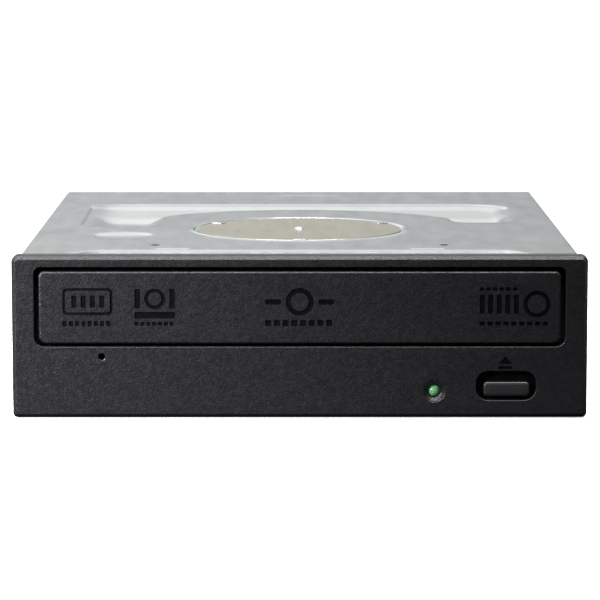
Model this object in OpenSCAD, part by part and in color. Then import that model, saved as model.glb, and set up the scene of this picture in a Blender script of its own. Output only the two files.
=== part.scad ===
// Half-height 5.25 inch tray-loading optical disc drive.
// X runs across the front, Y from front to rear, Z up.
// The origin is the middle of the footprint, on the underside.

/* [Case] */
// Width of the front bezel
bezel_w = 148.8; // [147.5:0.1:149]
// Height of the front bezel
bezel_h = 42.3; // [42.2:0.1:42.6]
// Width of the steel case
case_w = 146; // [145.9:0.1:146.2]
// Height of the steel case
case_h = 41.3; // [41.2:0.1:41.5]
// Overall depth, from bezel face to rear wall
drive_d = 180; // [178:1:184]
// Thickness of the top cover's sheet
cover_t = 0.8; // [0.7:0.05:0.85]
// Depth of the horn-shaped recess in the top cover
recess_depth = 2.5; // [1.5:0.1:2.6]

/* [Front] */
// Width of the tray door
door_w = 134.8; // [134:0.1:135.2]
// Height of the tray door
door_h = 18.8; // [18.4:0.1:19]
// Width of the eject button
button_w = 11.8; // [10:0.1:12.5]
// Height of the eject button
button_h = 3.7; // [3:0.1:4.4]
// Diameter of the status light
led_d = 3.3; // [2.6:0.1:3.4]

/* [Loading] */
// Distance that the tray slides out
tray_travel = 135; // [120:1:135]
// Radius of the recess for a 120 mm disc
disc_recess_r = 60.75; // [60.5:0.05:61]
// Radius of the recess for an 80 mm disc
small_recess_r = 40.75; // [40.5:0.05:41]
// Teeth on the pinion that drives the tray
pinion_teeth = 16; // [16]
// Teeth on the large wheel below that pinion
wheel_teeth = 40; // [40]
// Teeth on the small pinion of the belt pulley
pulley_teeth = 12; // [12]
// Sideways travel of the cam slider
slider_travel = 12; // [11:0.5:12]
// Angle by which the sub-chassis drops
drop_angle = 4; // [3:0.1:4]

/* [Reading] */
// Distance from spindle to lens with the pickup at its inner end
lens_start = 24; // [24:0.5:25]
// Travel of the pickup along its rods
sled_travel = 36; // [30:1:36]
// Radius of the turntable
turntable_r = 15.5; // [14.5:0.1:15.5]

/* [Hidden] */
$fn = 64;

// Main planes of the case
front_y = -drive_d / 2;
rear_y = drive_d / 2;
bezel_d = 5;
bezel_back = front_y + bezel_d;
half_case = case_w / 2;
inner_x = half_case - cover_t;
cover_under = case_h - cover_t;
base_t = 1;
play = 0.1;

// Bay mounting pattern: M3 holes, measured from the back of the bezel
m3_tap_r = 1.25;
mount_first_y = bezel_back + 47.4;
mount_pitch_y = 79.24;
mount_side_z = [10, 21.84];
mount_base_x = 69.85;
mount_y = [mount_first_y, mount_first_y + mount_pitch_y];
collar_r = 2.2;
collar_len = 1.6;

// Disc and heights that the loading and reading parts share
disc_y = front_y + 72.5;
disc_seat_z = 30.8;
play_z = 33;
tray_rim_z = 34.4;
tray_floor_z = 27.6;
small_seat_z = 29.2;

// Tray opening and door
door_z = 19.4;
opening_w = door_w + 2.4;
opening_z = [door_z - 0.8, door_z + door_h + 1.1];
door_t = 2.4;
tray_front_y = front_y + 3.6;

// Front panel features
button_pos = [53.5, 7.5];
slot_pos = [53.4, 8.4];
slot_size = [15.6, 7.6];
led_pos = [34.8, 6.9];
dish_r = 2.65;
pinhole_pos = [-51.2, 16];
mark_x = 53.2;

// Tray rails and frame guides
tray_x = 65.2;
rail_x = 66.5;
frame_in = 67.2;
frame_out = 69.6;
shelf_z = 21.4;
rail_top_z = 23.9;
tray_deck_y = 50;
tray_tail_y = 78;
slot_x = 25;

// Gear train
rack_module = 1;
wheel_module = 0.8;
pressure_angle = 20;
backlash = 0.16;
pinion_r = pinion_teeth * rack_module / 2;
wheel_r = wheel_teeth * wheel_module / 2;
pulley_pinion_r = pulley_teeth * wheel_module / 2;
gear_y = bezel_back + 19;
gear_x = -28.8;
pulley_x = gear_x + wheel_r + pulley_pinion_r;
motor_x = pulley_x + 32;
rack_x = gear_x - pinion_r;
deck_z = [16, 17.6];
pulley_z = [18.2, 20.6];
wheel_z = [21.2, 23.4];
pinion_z = [23.4, 27.2];
rack_z = [24, tray_floor_z];
belt_r = 12;
motor_belt_r = 2.4;
belt_t = 1.2;
pin_r = 1.5;

// Cam slider and sub-chassis
pivot = [0, 66, 17];
trunnion_r = 2.5;
slider_y = [bezel_back + 35.5, bezel_back + 38];
slider_z = [3.5, 20.8];
cam_pin_r = 1.55;
cam_pin_x = 24;
cam_pin_z = 15.5;
cam_pin_y = -48;
cam_drop = (pivot[1] - cam_pin_y) * sin(drop_angle);
chassis_x = 52.2;
chassis_y = [-45, 71];
chassis_z = [14.5, 23];

// Traverse
plate_z = [20.6, 21.8];
plate_x = 41.5;
plate_y = [-37, 63];
window_x = 31.2;
window_y = [-2.6, 23.5 + sled_travel];
damper_at = [[45.5, -30], [45.5, 54]];
damper_z = [18.6, 23.4];
damper_groove_r = 2.9;
rod_r = 1.5;
rod_x = 28;
rod_z = 17.2;
rod_y = [-8, 63];
screw_x = 36.5;
screw_y = [-10.3, 56.8];
screw_r = 1.5;
lens_y = disc_y + lens_start;
pickup_y = [lens_y - 7.5, lens_y + 15.5];
pickup_x = 24;
pickup_z = [14.6, 22];
pickup_top_z = 28.5;

// Spindle
rotor_r = 14;
rotor_z = [22.6, 29.4];
shaft_r = 1.5;
table_z = [29.4, 32.4];
hub_r = 7.4;

// Clamper
bridge_z = [36.2, 37.2];
bridge_hole_r = 14.2;
puck_r = 13.2;
puck_z = [34.3, 38.2];
puck_flange_r = 17;
cap_r = 28.5;
cap_z = [case_h - 0.4, case_h + 0.1];

// Boards
board_z = [3.6, 5.2];
board_x = 66;
board_y = [-38, 87];
front_board_z = [1.9, 3.1];
case_screw_at = [[63, -70], [63, 78]];
board_screw_at = [[61, -34], [61, 66]];

// ---------- shared shapes ----------

// A box given by its lowest and highest value along each axis
module span(x, y, z) {
    translate([x[0], y[0], z[0]])
        cube([x[1] - x[0], y[1] - y[0], z[1] - z[0]]);
}

module both_sides() {
    children();
    mirror([1, 0, 0]) children();
}

module post(r, z, at) {
    translate([at[0], at[1], z[0]])
        cylinder(r = r, h = z[1] - z[0]);
}

module tube(r_out, r_in, z, at) {
    difference() {
        post(r_out, z, at);
        post(r_in, [z[0] - 1, z[1] + 1], at);
    }
}

// A cylinder along Y through the point [x, z]
module rod_along_y(r, y, at) {
    translate([at[0], y[0], at[1]])
        rotate([-90, 0, 0])
            cylinder(r = r, h = y[1] - y[0]);
}

// A cylinder along X through the point [y, z]
module rod_along_x(r, x, at) {
    translate([x[0], at[0], at[1]])
        rotate([0, 90, 0])
            cylinder(r = r, h = x[1] - x[0]);
}

module rounded_rect(w, h, r) {
    square([w - 2 * r, h], center = true);
    square([w, h - 2 * r], center = true);
    for (sx = [-1, 1], sy = [-1, 1])
        translate([sx * (w / 2 - r), sy * (h / 2 - r)])
            circle(r);
}

// A rounded block whose outline lies in the XZ plane, centred on [x, z]
module front_block(w, h, r, y, at) {
    translate([at[0], y[1], at[1]])
        rotate([90, 0, 0])
            linear_extrude(y[1] - y[0])
                rounded_rect(w, h, r);
}

// A straight slot with round ends, from p to q in the XY plane
module slot_between(p, q, r) {
    run = q - p;
    translate(p)
        rotate(atan2(run[1], run[0]))
            translate([0, -r])
                square([norm(run), 2 * r]);
    translate(p) circle(r);
    translate(q) circle(r);
}

function polar(r, angle) = [r * cos(angle), r * sin(angle)];
function roll(base, r) = sqrt(max(0, pow(r / base, 2) - 1)) * 180 / PI;
function involute_angle(base, r) = roll(base, r) - atan(roll(base, r) * PI / 180);

// An involute gear, with a tooth centred on the +X axis
module gear_outline(teeth, gear_module) {
    addendum = 0.88;
    dedendum = 1.2;
    flank_steps = 3;
    pitch = teeth * gear_module / 2;
    base = pitch * cos(pressure_angle);
    tip = pitch + addendum * gear_module;
    root = pitch - dedendum * gear_module;
    start = max(base, root);
    half = 90 / teeth - backlash / (2 * pitch) * 180 / PI + involute_angle(base, pitch);
    flank = [for (k = [0 : flank_steps]) start + (tip - start) * k / flank_steps];
    polygon([for (t = [0 : teeth - 1]) let (c = 360 * t / teeth) each concat(
        [polar(root, c - half)],
        [for (r = flank) polar(r, c - half + involute_angle(base, r))],
        [for (k = [flank_steps : -1 : 0]) polar(flank[k], c + half - involute_angle(base, flank[k]))],
        [polar(root, c + half)])]);
}

// One straight rack tooth, pointing along +X from its pitch line at x = 0
module rack_tooth(gear_module) {
    reach = 0.88 * gear_module;
    depth = 1.2 * gear_module;
    half = PI * gear_module / 4 - backlash / 2;
    lean = tan(pressure_angle);
    polygon([[-depth, -half - depth * lean], [reach, -half + reach * lean],
             [reach, half - reach * lean], [-depth, half + depth * lean]]);
}

module at_disc() {
    translate([0, disc_y, 0]) children();
}

// ---------- case ----------

// The horn-shaped recess behind the disc clamp, grown outwards by g
module horn_outline(g) {
    arc_r = 51.5;
    difference() {
        union() {
            translate([0, 35.3])
                rounded_rect(126 + 2 * g, 30 + 2 * g, 8 + g);
            translate([-62.5 - g, -2]) square([27, 32]);
            translate([35.5 + g, 8.5]) square([27, 22]);
        }
        translate([0, disc_y]) circle(arc_r - g, $fn = 128);
    }
    translate([-51, -2]) circle(11.5 + g);
    translate([52.5, 8.5]) circle(10 + g);
}

// The stepped strip along the cover's front edge, with its two small notches
module front_step_outline(g) {
    step_x = 61.5;
    step_rear = bezel_back + 15.5;
    translate([-step_x - g, bezel_back - 2]) square([2 * (step_x + g), step_rear - bezel_back + 2 + g]);
    for (side = [-1, 1])
        translate([side * 33.7 - 5 - g, bezel_back]) square([10 + 2 * g, 20.2 + g]);
}

module pressed(outline_z, depth) {
    translate([0, 0, outline_z - depth])
        linear_extrude(depth + 1)
            children();
}

module top_cover() {
    dimple = [-48.4, -33.7];
    step_depth = 1.2;
    seat_r = cap_r + 0.3;
    bead_r = seat_r + 1.4;
    color("#b4b9bb")
    difference() {
        union() {
            difference() {
                span([-half_case, half_case], [bezel_back + play, rear_y], [0, case_h]);
                span([-inner_x, inner_x], [bezel_back - 1, rear_y - cover_t], [-1, cover_under]);
            }
            translate([0, 0, cover_under - recess_depth]) linear_extrude(recess_depth + cover_t) horn_outline(cover_t);
            post(8.2 + cover_t, [cover_under - 1.5, case_h], dimple);
            translate([0, 0, cover_under - step_depth])
                linear_extrude(step_depth + cover_t)
                    intersection() {
                        front_step_outline(cover_t);
                        translate([-inner_x, bezel_back + play]) square([2 * inner_x, 40]);
                    }
            post(bead_r, [cover_under - 0.4, case_h + 0.6], [0, disc_y]);
            both_sides()
                for (y = mount_y, z = mount_side_z)
                    rod_along_x(collar_r, [inner_x - collar_len, inner_x + 0.1], [y, z]);
        }
        pressed(case_h, recess_depth) horn_outline(0);
        pressed(case_h, 1.5) translate(dimple) circle(8.2);
        pressed(case_h, step_depth) front_step_outline(0);
        post(seat_r, [cap_z[0], case_h + 2], [0, disc_y]);
        post(25, [cover_under - 2, case_h + 2], [0, disc_y]);
        for (x = [-38.7, 38.7]) post(1.25, [cover_under - 1, case_h + 1], [x, -57]);
        both_sides() {
            for (y = mount_y, z = mount_side_z)
                rod_along_x(m3_tap_r, [inner_x - collar_len - 1, half_case + 1], [y, z]);
            for (z = [[8, 14], [27, 33]])
                span([inner_x - 1, half_case + 1], [bezel_back + 3.5, bezel_back + 6.5], z);
        }
        // window for the rear connector, and a row of vents beside it
        span([-54.5, -9.5], [rear_y - 2, rear_y + 1], [-1, 13]);
        for (k = [0 : 6])
            span([14 + 7 * k, 16.4 + 7 * k], [rear_y - 2, rear_y + 1], [18, 30]);
    }
}

module bottom_cover() {
    edge = inner_x - play;
    y0 = bezel_back + 0.2;
    y1 = rear_y - cover_t - play;
    dimple_rise = 1.2;
    color("#a9aeb0")
    difference() {
        union() {
            span([-edge, edge], [y0, y1], [0, base_t]);
            both_sides() {
                span([edge - cover_t, edge], [y0 + 4, y1 - 4], [0, 4]);
                for (y = mount_y) post(collar_r, [0, base_t + collar_len], [mount_base_x, y]);
                for (p = case_screw_at) post(4.6, [0, base_t + dimple_rise], p);
            }
            for (x = [-34, 0, 34])
                translate([x, 0, 0])
                    linear_extrude(1.8) slot_between([0, -30], [0, 60], 3.6);
        }
        both_sides() {
            for (y = mount_y) post(m3_tap_r, [-1, 5], [mount_base_x, y]);
            for (p = case_screw_at) {
                post(4, [-1, dimple_rise], p);
                post(1.6, [-1, 5], p);
            }
        }
        for (x = [-34, 0, 34])
            translate([x, 0, -1])
                linear_extrude(1.8) slot_between([0, -30], [0, 60], 2.8);
    }
}

// Thin round cap that covers the clamper, held by three tabs
module clamper_cap() {
    color("#b5b1a5")
    at_disc() {
        post(cap_r, cap_z, [0, 0]);
        post(1.3, [cap_z[0] - 0.9, cap_z[1] + 0.3], [0, 0]);
        for (a = [30, 150, 270])
            rotate(a) span([18.6, 24.6], [-3, 3], [cap_z[0] - 0.7, cap_z[0] + 0.1]);
    }
}

module case_screws() {
    color("#8d9193")
    both_sides()
        for (p = case_screw_at) {
            tube(2.9, 0.9, [0.15, 1.15], p);
            post(1.45, [0.6, 9], p);
        }
}

// ---------- front ----------

module eject_mark() {
    translate([mark_x, 14.1]) polygon([[-1.75, 0], [1.75, 0], [0, 1.9]]);
    translate([mark_x - 1.75, 12.75]) square([3.5, 0.75]);
}

module front_bezel() {
    wall = 1.6;
    plate = 2.2;
    plate_back = front_y + plate;
    mark_depth = 0.3;
    guide_in = [17.6, 9.6];
    opening_mid = (opening_z[0] + opening_z[1]) / 2;
    opening_h = opening_z[1] - opening_z[0];
    color("#1b1c1f")
    difference() {
        union() {
            difference() {
                front_block(bezel_w, bezel_h, 1.5, [front_y, bezel_back], [0, bezel_h / 2]);
                front_block(bezel_w - 2 * wall, bezel_h - 2 * wall, 0.8, [plate_back, bezel_back + 1], [0, bezel_h / 2]);
            }
            front_block(opening_w + 2.4, opening_h + 2.2, 3, [plate_back - 0.1, bezel_back], [0, opening_mid]);
            front_block(guide_in[0] + 2, guide_in[1] + 2, 1.5, [plate_back - 0.1, bezel_back + 0.4], button_pos);
            rod_along_y(3.4, [plate_back - 0.1, bezel_back], led_pos);
            rod_along_y(2, [plate_back - 0.1, bezel_back], pinhole_pos);
            // snap hooks that catch in the cover's side slots
            both_sides()
                for (z = [[8.4, 13.6], [27.4, 32.6]]) {
                    span([70, 71.4], [plate_back, bezel_back + 7.4], z);
                    span([71.3, 72.6], [bezel_back + 3.8, bezel_back + 6.2], z);
                }
        }
        front_block(opening_w, opening_h, 2.2, [front_y - 1, bezel_back + 1], [0, opening_mid]);
        front_block(slot_size[0], slot_size[1], 3.3, [front_y - 1, bezel_back], slot_pos);
        front_block(guide_in[0], guide_in[1], 0.6, [plate_back, bezel_back + 1], button_pos);
        rod_along_y(led_d / 2 + 0.1, [front_y - 1, bezel_back + 1], led_pos);
        translate([led_pos[0], front_y - 0.01, led_pos[1]])
            rotate([-90, 0, 0])
                cylinder(r1 = dish_r, r2 = led_d / 2 + 0.1, h = 1);
        rod_along_y(0.85, [front_y - 1, bezel_back + 1], pinhole_pos);
        translate([0, front_y + mark_depth, 0])
            rotate([90, 0, 0])
                linear_extrude(1) eject_mark();
    }
}

module status_led() {
    dome_y = front_y + 0.9;
    color("#5fae6c") {
        intersection() {
            translate([led_pos[0], dome_y + led_d / 2, led_pos[1]]) sphere(led_d / 2);
            rod_along_y(led_d, [dome_y - 1, dome_y + led_d / 2], led_pos);
        }
        rod_along_y(led_d / 2, [dome_y + led_d / 2, bezel_back], led_pos);
        rod_along_y(led_d / 2 + 0.45, [bezel_back + 0.1, bezel_back + 1.1], led_pos);
        rod_along_y(led_d / 2, [bezel_back - 0.1, bezel_back + 0.2], led_pos);
    }
}

module led_leads() {
    back = bezel_back + 1.1;
    color("#c8c8c4")
    for (dx = [-1.27, 1.27]) {
        span([led_pos[0] + dx - 0.25, led_pos[0] + dx + 0.25], [back, back + 3], [led_pos[1] - 0.25, led_pos[1] + 0.25]);
        span([led_pos[0] + dx - 0.25, led_pos[0] + dx + 0.25], [back + 2.5, back + 3],
             [front_board_z[1], led_pos[1] + 0.25]);
    }
}

module eject_button() {
    flange = [17.2, 9.2];
    flange_y = front_y + 2.3;
    color("#222428") {
        front_block(button_w, button_h, 0.6, [front_y, flange_y + 0.1], button_pos);
        front_block(flange[0], flange[1], 0.5, [flange_y, flange_y + 1.2], button_pos);
        rod_along_y(1.6, [flange_y + 1.1, bezel_back + 4.7], button_pos);
    }
}

module eject_switch() {
    body_y = [bezel_back + 5.7, bezel_back + 10.2];
    color("#2c2e33")
    difference() {
        union() {
            span([button_pos[0] - 3, button_pos[0] + 3], body_y, [front_board_z[1], 10.4]);
            span([button_pos[0] - 3.6, button_pos[0] + 3.6], [body_y[0] + 1, body_y[1] - 1], [front_board_z[1], 5]);
        }
        rod_along_y(1.7, [body_y[0] - 1, body_y[0] + 3], button_pos);
    }
}

module switch_plunger() {
    color("#6e1f1c")
        rod_along_y(1.6, [bezel_back + 4.72, bezel_back + 7], button_pos);
}

// Felt strip under the cover's front edge that keeps dust out of the tray slot
module dust_felt() {
    color("#26262a")
        span([-58, 58], [bezel_back + 0.8, bezel_back + 4.8], [38, cover_under - 1.2 - 0.05]);
}

// ---------- tray ----------

module tray_door() {
    mid_z = door_z + door_h / 2;
    lip = 1.2;
    clip_x = 40;
    color("#232428")
    difference() {
        union() {
            front_block(door_w, door_h, 1.8, [front_y, tray_front_y - play], [0, mid_z]);
            for (side = [-1, 1])
                span([side * clip_x - 4, side * clip_x + 4], [front_y + door_t, tray_front_y + 2.6], [26, 27.4]);
        }
        difference() {
            front_block(door_w - 2 * lip, door_h - 2 * lip, 0.8, [front_y + door_t, tray_front_y + 0.1], [0, mid_z]);
            for (side = [-1, 1])
                span([side * clip_x - 4, side * clip_x + 4], [front_y, tray_front_y + 1], [26, 27.4]);
        }
    }
}

module tray_rack() {
    tooth_pitch = PI * rack_module;
    last = ceil(tray_travel / tooth_pitch) + 1;
    back = 1.2 * rack_module;
    translate([rack_x, gear_y, rack_z[0]])
        linear_extrude(rack_z[1] - rack_z[0] + 0.1) {
            for (k = [-3 : last])
                translate([0, (k + 0.5) * tooth_pitch]) rack_tooth(rack_module);
            translate([-back - 2.4, -3 * tooth_pitch])
                square([2.5, (last + 4) * tooth_pitch - 0.5]);
        }
}

module disc_tray() {
    y0 = tray_front_y + 2.2;
    rim_r = disc_recess_r;
    finger_r = 15;
    color("#2a2b2f")
    difference() {
        union() {
            span([-tray_x, tray_x], [y0, tray_deck_y], [tray_floor_z, tray_rim_z]);
            span([-tray_x + 0.4, tray_x - 0.4], [tray_front_y, y0 + 0.1], [shelf_z + 0.3, tray_rim_z]);
            span([-61.4, 61.4], [tray_front_y, y0 + 0.1], [20.6, shelf_z + 0.4]);
            both_sides() {
                span([tray_x - 2.2, tray_x], [y0, tray_tail_y], [shelf_z + 0.3, tray_rim_z - 2]);
                span([tray_x - 0.1, rail_x], [y0 + 1, tray_tail_y], [shelf_z + 0.3, rail_top_z]);
                span([38, tray_x], [tray_deck_y - 1, tray_tail_y], [tray_floor_z, 30]);
            }
            tray_rack();
        }
        at_disc() {
            post(rim_r, [disc_seat_z, 40], [0, 0]);
            post(small_recess_r, [small_seat_z, 40], [0, 0]);
            post(19, [0, 40], [0, 0]);
            span([-slot_x, slot_x], [0, 100], [0, 40]);
            // finger notches at the front corners of the disc recess
            for (side = [-1, 1])
                translate([side * 47, -44, 0]) post(finger_r, [disc_seat_z - 1.6, 40], [0, 0]);
        }
        for (side = [-1, 1])
            span([side * 40 - 4.2, side * 40 + 4.2], [tray_front_y - 1, y0 + 1], [25.8, 27.55]);
        both_sides()
            span([40, tray_x - 4], [tray_deck_y + 3, tray_tail_y - 6], [28.6, 40]);
    }
}

// ---------- loading mechanism ----------

module frame_side() {
    // wall, tray shelf and the lips above the tray's rail
    span([frame_in, frame_out], [bezel_back + 0.4, 86], [3, 34]);
    span([62, frame_in + 0.1], [bezel_back + 0.4, 80], [shelf_z - 2, shelf_z]);
    for (y = [-78, -40, 0, 40])
        span([65.5, frame_in + 0.1], [y, y + 14], [rail_top_z + 0.3, rail_top_z + 2.2]);
    // pad that the clamp bridge is screwed to
    span([66, frame_out], [disc_y - 17, disc_y + 17], [33.9, bridge_z[0]]);
    // side floor beside the sub-chassis, and its inner wall
    span([55, frame_in + 0.1], [-52, 76], [10.2, 11.8]);
    span([54.8, 56.4], [-44, 60], [10.2, 19]);
    // ribs that locate the frame in the cover
    for (y = [-72, 2, 76])
        span([frame_out - 0.1, inner_x - play], [y, y + 4], [12, 30]);
    // pivot bearing lug
    span([53.2, 56.4], [pivot[1] - 5, pivot[1] + 10.1], [10.2, pivot[2] + 5]);
    // case screw bosses
    post(3.6, [base_t + 1.3, deck_z[0] + 0.1], case_screw_at[0]);
    post(3.6, [base_t + 1.3, 12], case_screw_at[1]);
    // main board posts
    for (p = board_screw_at) post(2.6, [board_z[1] + play, 10.4], p);
}

module main_frame() {
    beam_y = [bezel_back + 0.4, bezel_back + 2.4];
    guide_y = [slider_y[0] - 1.8, slider_y[0] - 0.5];
    color("#34363a")
    difference() {
        union() {
            both_sides() frame_side();
            // front beam, gear deck, slider shelf and slider guides
            span([-frame_in, frame_in], beam_y, [3, deck_z[1]]);
            span([-frame_in, frame_in], [beam_y[0], guide_y[1]], deck_z);
            span([-frame_in, frame_in], guide_y, [3, deck_z[1]]);
            span([-frame_in, frame_in], [guide_y[0], slider_y[1] + 1.2], [2, 3.3]);
            both_sides()
                span([57, frame_in], [slider_y[1] + 0.4, slider_y[1] + 1.6], [2, 12]);
            // rear beam with a step for the connector
            span([-frame_in, frame_in], [76, 86], [13.4, 15.4]);
            span([-frame_in, frame_in], [76, 78], [13.4, 20]);
            both_sides() span([55, frame_in], [73, 86], [10.2, 15.4]);
            post(3.2, [deck_z[1] - 0.1, pulley_z[0] - play], [gear_x, gear_y]);
            post(3.2, [deck_z[1] - 0.1, pulley_z[0] - play], [pulley_x, gear_y]);
        }
        both_sides() {
            for (p = case_screw_at) post(1.5, [0, 9.5], p);
            for (p = board_screw_at) post(1.05, [0, 9.5], p);
            for (dy = [-12, 12]) post(1.05, [31, 40], [67.8, disc_y + dy]);
            rod_along_x(trunnion_r + 0.1, [50, 57], [pivot[1], pivot[2]]);
        }
        // openings for button guide, light, emergency pin and motor
        span([42, 66], [bezel_back, beam_y[1] + 0.1], [0, 14.2]);
        span([31.5, 38.2], [bezel_back, beam_y[1] + 0.1], [0, 11]);
        span([pinhole_pos[0] - 1.8, pinhole_pos[0] + 1.8], [bezel_back, guide_y[1] + 0.1], [14.4, 20]);
        post(3.7, [10, 20], [motor_x, gear_y]);
        for (dx = [-6, 6]) post(1.1, [10, 20], [motor_x + dx, gear_y]);
        post(pin_r, [10, 30], [gear_x, gear_y]);
        post(pin_r, [10, 30], [pulley_x, gear_y]);
        // lightening openings in the deck
        span([42, 57], [gear_y - 6, gear_y + 9], [10, 20]);
        span([-64, -55], [gear_y + 3, gear_y + 12], [10, 20]);
        // clearance for the front board and the flex below the shelf
        span([8, 60], [guide_y[0] - 1, guide_y[1] + 0.1], [0, 3.4]);
        span([9, 35], [guide_y[0] - 1, slider_y[1] + 3], [0, 2.4]);
    }
}

module gear_pins() {
    color("#c9ccce") {
        post(pin_r - 0.02, [deck_z[0], pinion_z[1] - 0.2], [gear_x, gear_y]);
        post(pin_r - 0.02, [deck_z[0], 24.8], [pulley_x, gear_y]);
    }
}

module loading_motor() {
    can_r = 10;
    can_z = [front_board_z[1] + 0.9, deck_z[0] - play];
    color("#b9bcbe")
    difference() {
        union() {
            post(can_r, can_z, [motor_x, gear_y]);
            post(3.4, [can_z[1] - 0.1, can_z[1] + 1.4], [motor_x, gear_y]);
            post(4, [front_board_z[1], can_z[0] + 0.1], [motor_x, gear_y]);
            for (dx = [-6, 6]) post(1, [can_z[1] - 0.1, deck_z[1] + 0.05], [motor_x + dx, gear_y]);
            for (dx = [-6, 6]) post(1.9, [deck_z[1] + 0.05, deck_z[1] + 0.5], [motor_x + dx, gear_y]);
        }
        post(1.1, [11, 25], [motor_x, gear_y]);
    }
}

module motor_shaft() {
    color("#d0d2d4") post(1, [12, 21], [motor_x, gear_y]);
}

module motor_pulley() {
    color("#e8e5da")
    difference() {
        union() {
            post(3.3, [pulley_z[0], pulley_z[0] + 0.5], [motor_x, gear_y]);
            post(motor_belt_r, pulley_z, [motor_x, gear_y]);
            post(3.3, [pulley_z[1] - 0.5, pulley_z[1]], [motor_x, gear_y]);
        }
        post(1, [15, 25], [motor_x, gear_y]);
    }
}

module drive_belt() {
    gap = 0.05;
    mid = (pulley_z[0] + pulley_z[1]) / 2;
    color("#17181a")
    translate([0, gear_y, mid - belt_t / 2])
        linear_extrude(belt_t)
            difference() {
                hull() {
                    translate([pulley_x, 0]) circle(belt_r + gap + belt_t, $fn = 96);
                    translate([motor_x, 0]) circle(motor_belt_r + gap + belt_t, $fn = 32);
                }
                hull() {
                    translate([pulley_x, 0]) circle(belt_r + gap, $fn = 96);
                    translate([motor_x, 0]) circle(motor_belt_r + gap, $fn = 32);
                }
            }
}

module pulley_gear() {
    color("#efece2")
    translate([pulley_x, gear_y, 0])
    difference() {
        union() {
            post(13, [pulley_z[0], pulley_z[0] + 0.5], [0, 0]);
            post(belt_r, pulley_z, [0, 0]);
            post(13, [pulley_z[1] - 0.5, pulley_z[1]], [0, 0]);
            translate([0, 0, pulley_z[1] - 0.1])
                linear_extrude(3.7)
                    rotate(180 + 180 / pulley_teeth) gear_outline(pulley_teeth, wheel_module);
        }
        post(pin_r + 0.04, [10, 30], [0, 0]);
        for (a = [0 : 60 : 300])
            post(2.4, [10, 30], polar(8.2, a));
    }
}

module tray_gear() {
    color("#f2efe6")
    translate([gear_x, gear_y, 0])
    difference() {
        union() {
            post(3.4, [pulley_z[0], wheel_z[0] + 0.1], [0, 0]);
            translate([0, 0, wheel_z[0]])
                linear_extrude(wheel_z[1] - wheel_z[0]) gear_outline(wheel_teeth, wheel_module);
            translate([0, 0, pinion_z[0] - 0.1])
                linear_extrude(pinion_z[1] - pinion_z[0] + 0.1) rotate(180) gear_outline(pinion_teeth, rack_module);
        }
        post(pin_r + 0.04, [10, 30], [0, 0]);
        for (a = [30 : 60 : 330])
            post(1.5, [10, wheel_z[1] + 0.01], polar(11.8, a));
    }
}

// Cam slot seen from the front: level at both ends, sloped between
module cam_slot(x) {
    top = [x, cam_pin_z];
    low = [x - slider_travel, cam_pin_z - cam_drop];
    slot_r = cam_pin_r + 0.2;
    dwell = 1.5;
    slot_between(top, top + [dwell, 0], slot_r);
    slot_between(top, low, slot_r);
    slot_between(low, low - [dwell, 0], slot_r);
}

module cam_slider() {
    x = [-44, 32];
    tooth = [1.2, 0.85];
    rack_y = [gear_y + wheel_r + tooth[1] + 1, slider_y[1] + 0.5];
    tooth_pitch = PI * wheel_module;
    color("#e9e6dc") {
        difference() {
            union() {
                span(x, slider_y, slider_z);
                span([x[0] - 6, x[1]], slider_y, [slider_z[0], 6]);
                span([x[0], x[1]], [slider_y[0] - 0.4, slider_y[1] + 0.3], [slider_z[0], slider_z[0] + 1.5]);
            }
            translate([0, slider_y[1] + 1, 0])
                rotate([90, 0, 0])
                    linear_extrude(5) {
                        cam_slot(-cam_pin_x);
                        cam_slot(cam_pin_x);
                    }
        }
        // rack that the large wheel pushes once the tray is home
        span([gear_x - 12, gear_x + 12], rack_y, [slider_z[1] - 0.1, wheel_z[1] - 0.1]);
        translate([gear_x, rack_y[0] - tooth[1], wheel_z[0]])
            linear_extrude(wheel_z[1] - wheel_z[0] - 0.1)
                for (k = [-4 : 4])
                    translate([k * tooth_pitch - tooth[0] / 2, 0]) square([tooth[0], tooth[1] + 0.1]);
        // ramp for the emergency pin
        translate([0, 0, 13.4])
            linear_extrude(5)
                polygon([[x[0] + 0.1, slider_y[0]], [pinhole_pos[0] - 4, slider_y[1]], [x[0] + 0.1, slider_y[1]]]);
    }
}

module position_switch() {
    color("#3a3c40") {
        span([56.5, 61.5], [gear_y + 3, gear_y + 8], [deck_z[1], deck_z[1] + 2.2]);
        span([58.5, 59.5], [gear_y + 5, gear_y + 6], [deck_z[1] + 2, deck_z[1] + 3.2]);
    }
}

// ---------- clamper ----------

module clamp_bridge() {
    half_y = 16.5;
    color("#aeb3b5")
    difference() {
        union() {
            span([-69.3, 69.3], [disc_y - half_y, disc_y + half_y], bridge_z);
            for (side = [-1, 1], dy = [-13, 13])
                span([side * 38 - 18, side * 38 + 18], [disc_y + dy - 1, disc_y + dy + 1], [bridge_z[1], bridge_z[1] + 0.6]);
        }
        post(bridge_hole_r, [30, 45], [0, disc_y]);
        both_sides() {
            for (dy = [-12, 12]) post(1.1, [30, 45], [67.8, disc_y + dy]);
            post(6, [30, 45], [46, disc_y]);
        }
    }
}

module bridge_screws() {
    color("#8d9193")
    both_sides()
        for (dy = [-12, 12]) {
            post(1, [32, bridge_z[1] + 0.1], [67.8, disc_y + dy]);
            tube(1.75, 0.6, [bridge_z[1], bridge_z[1] + 0.9], [67.8, disc_y + dy]);
            post(0.7, [bridge_z[1], bridge_z[1] + 0.4], [67.8, disc_y + dy]);
        }
}

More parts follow.
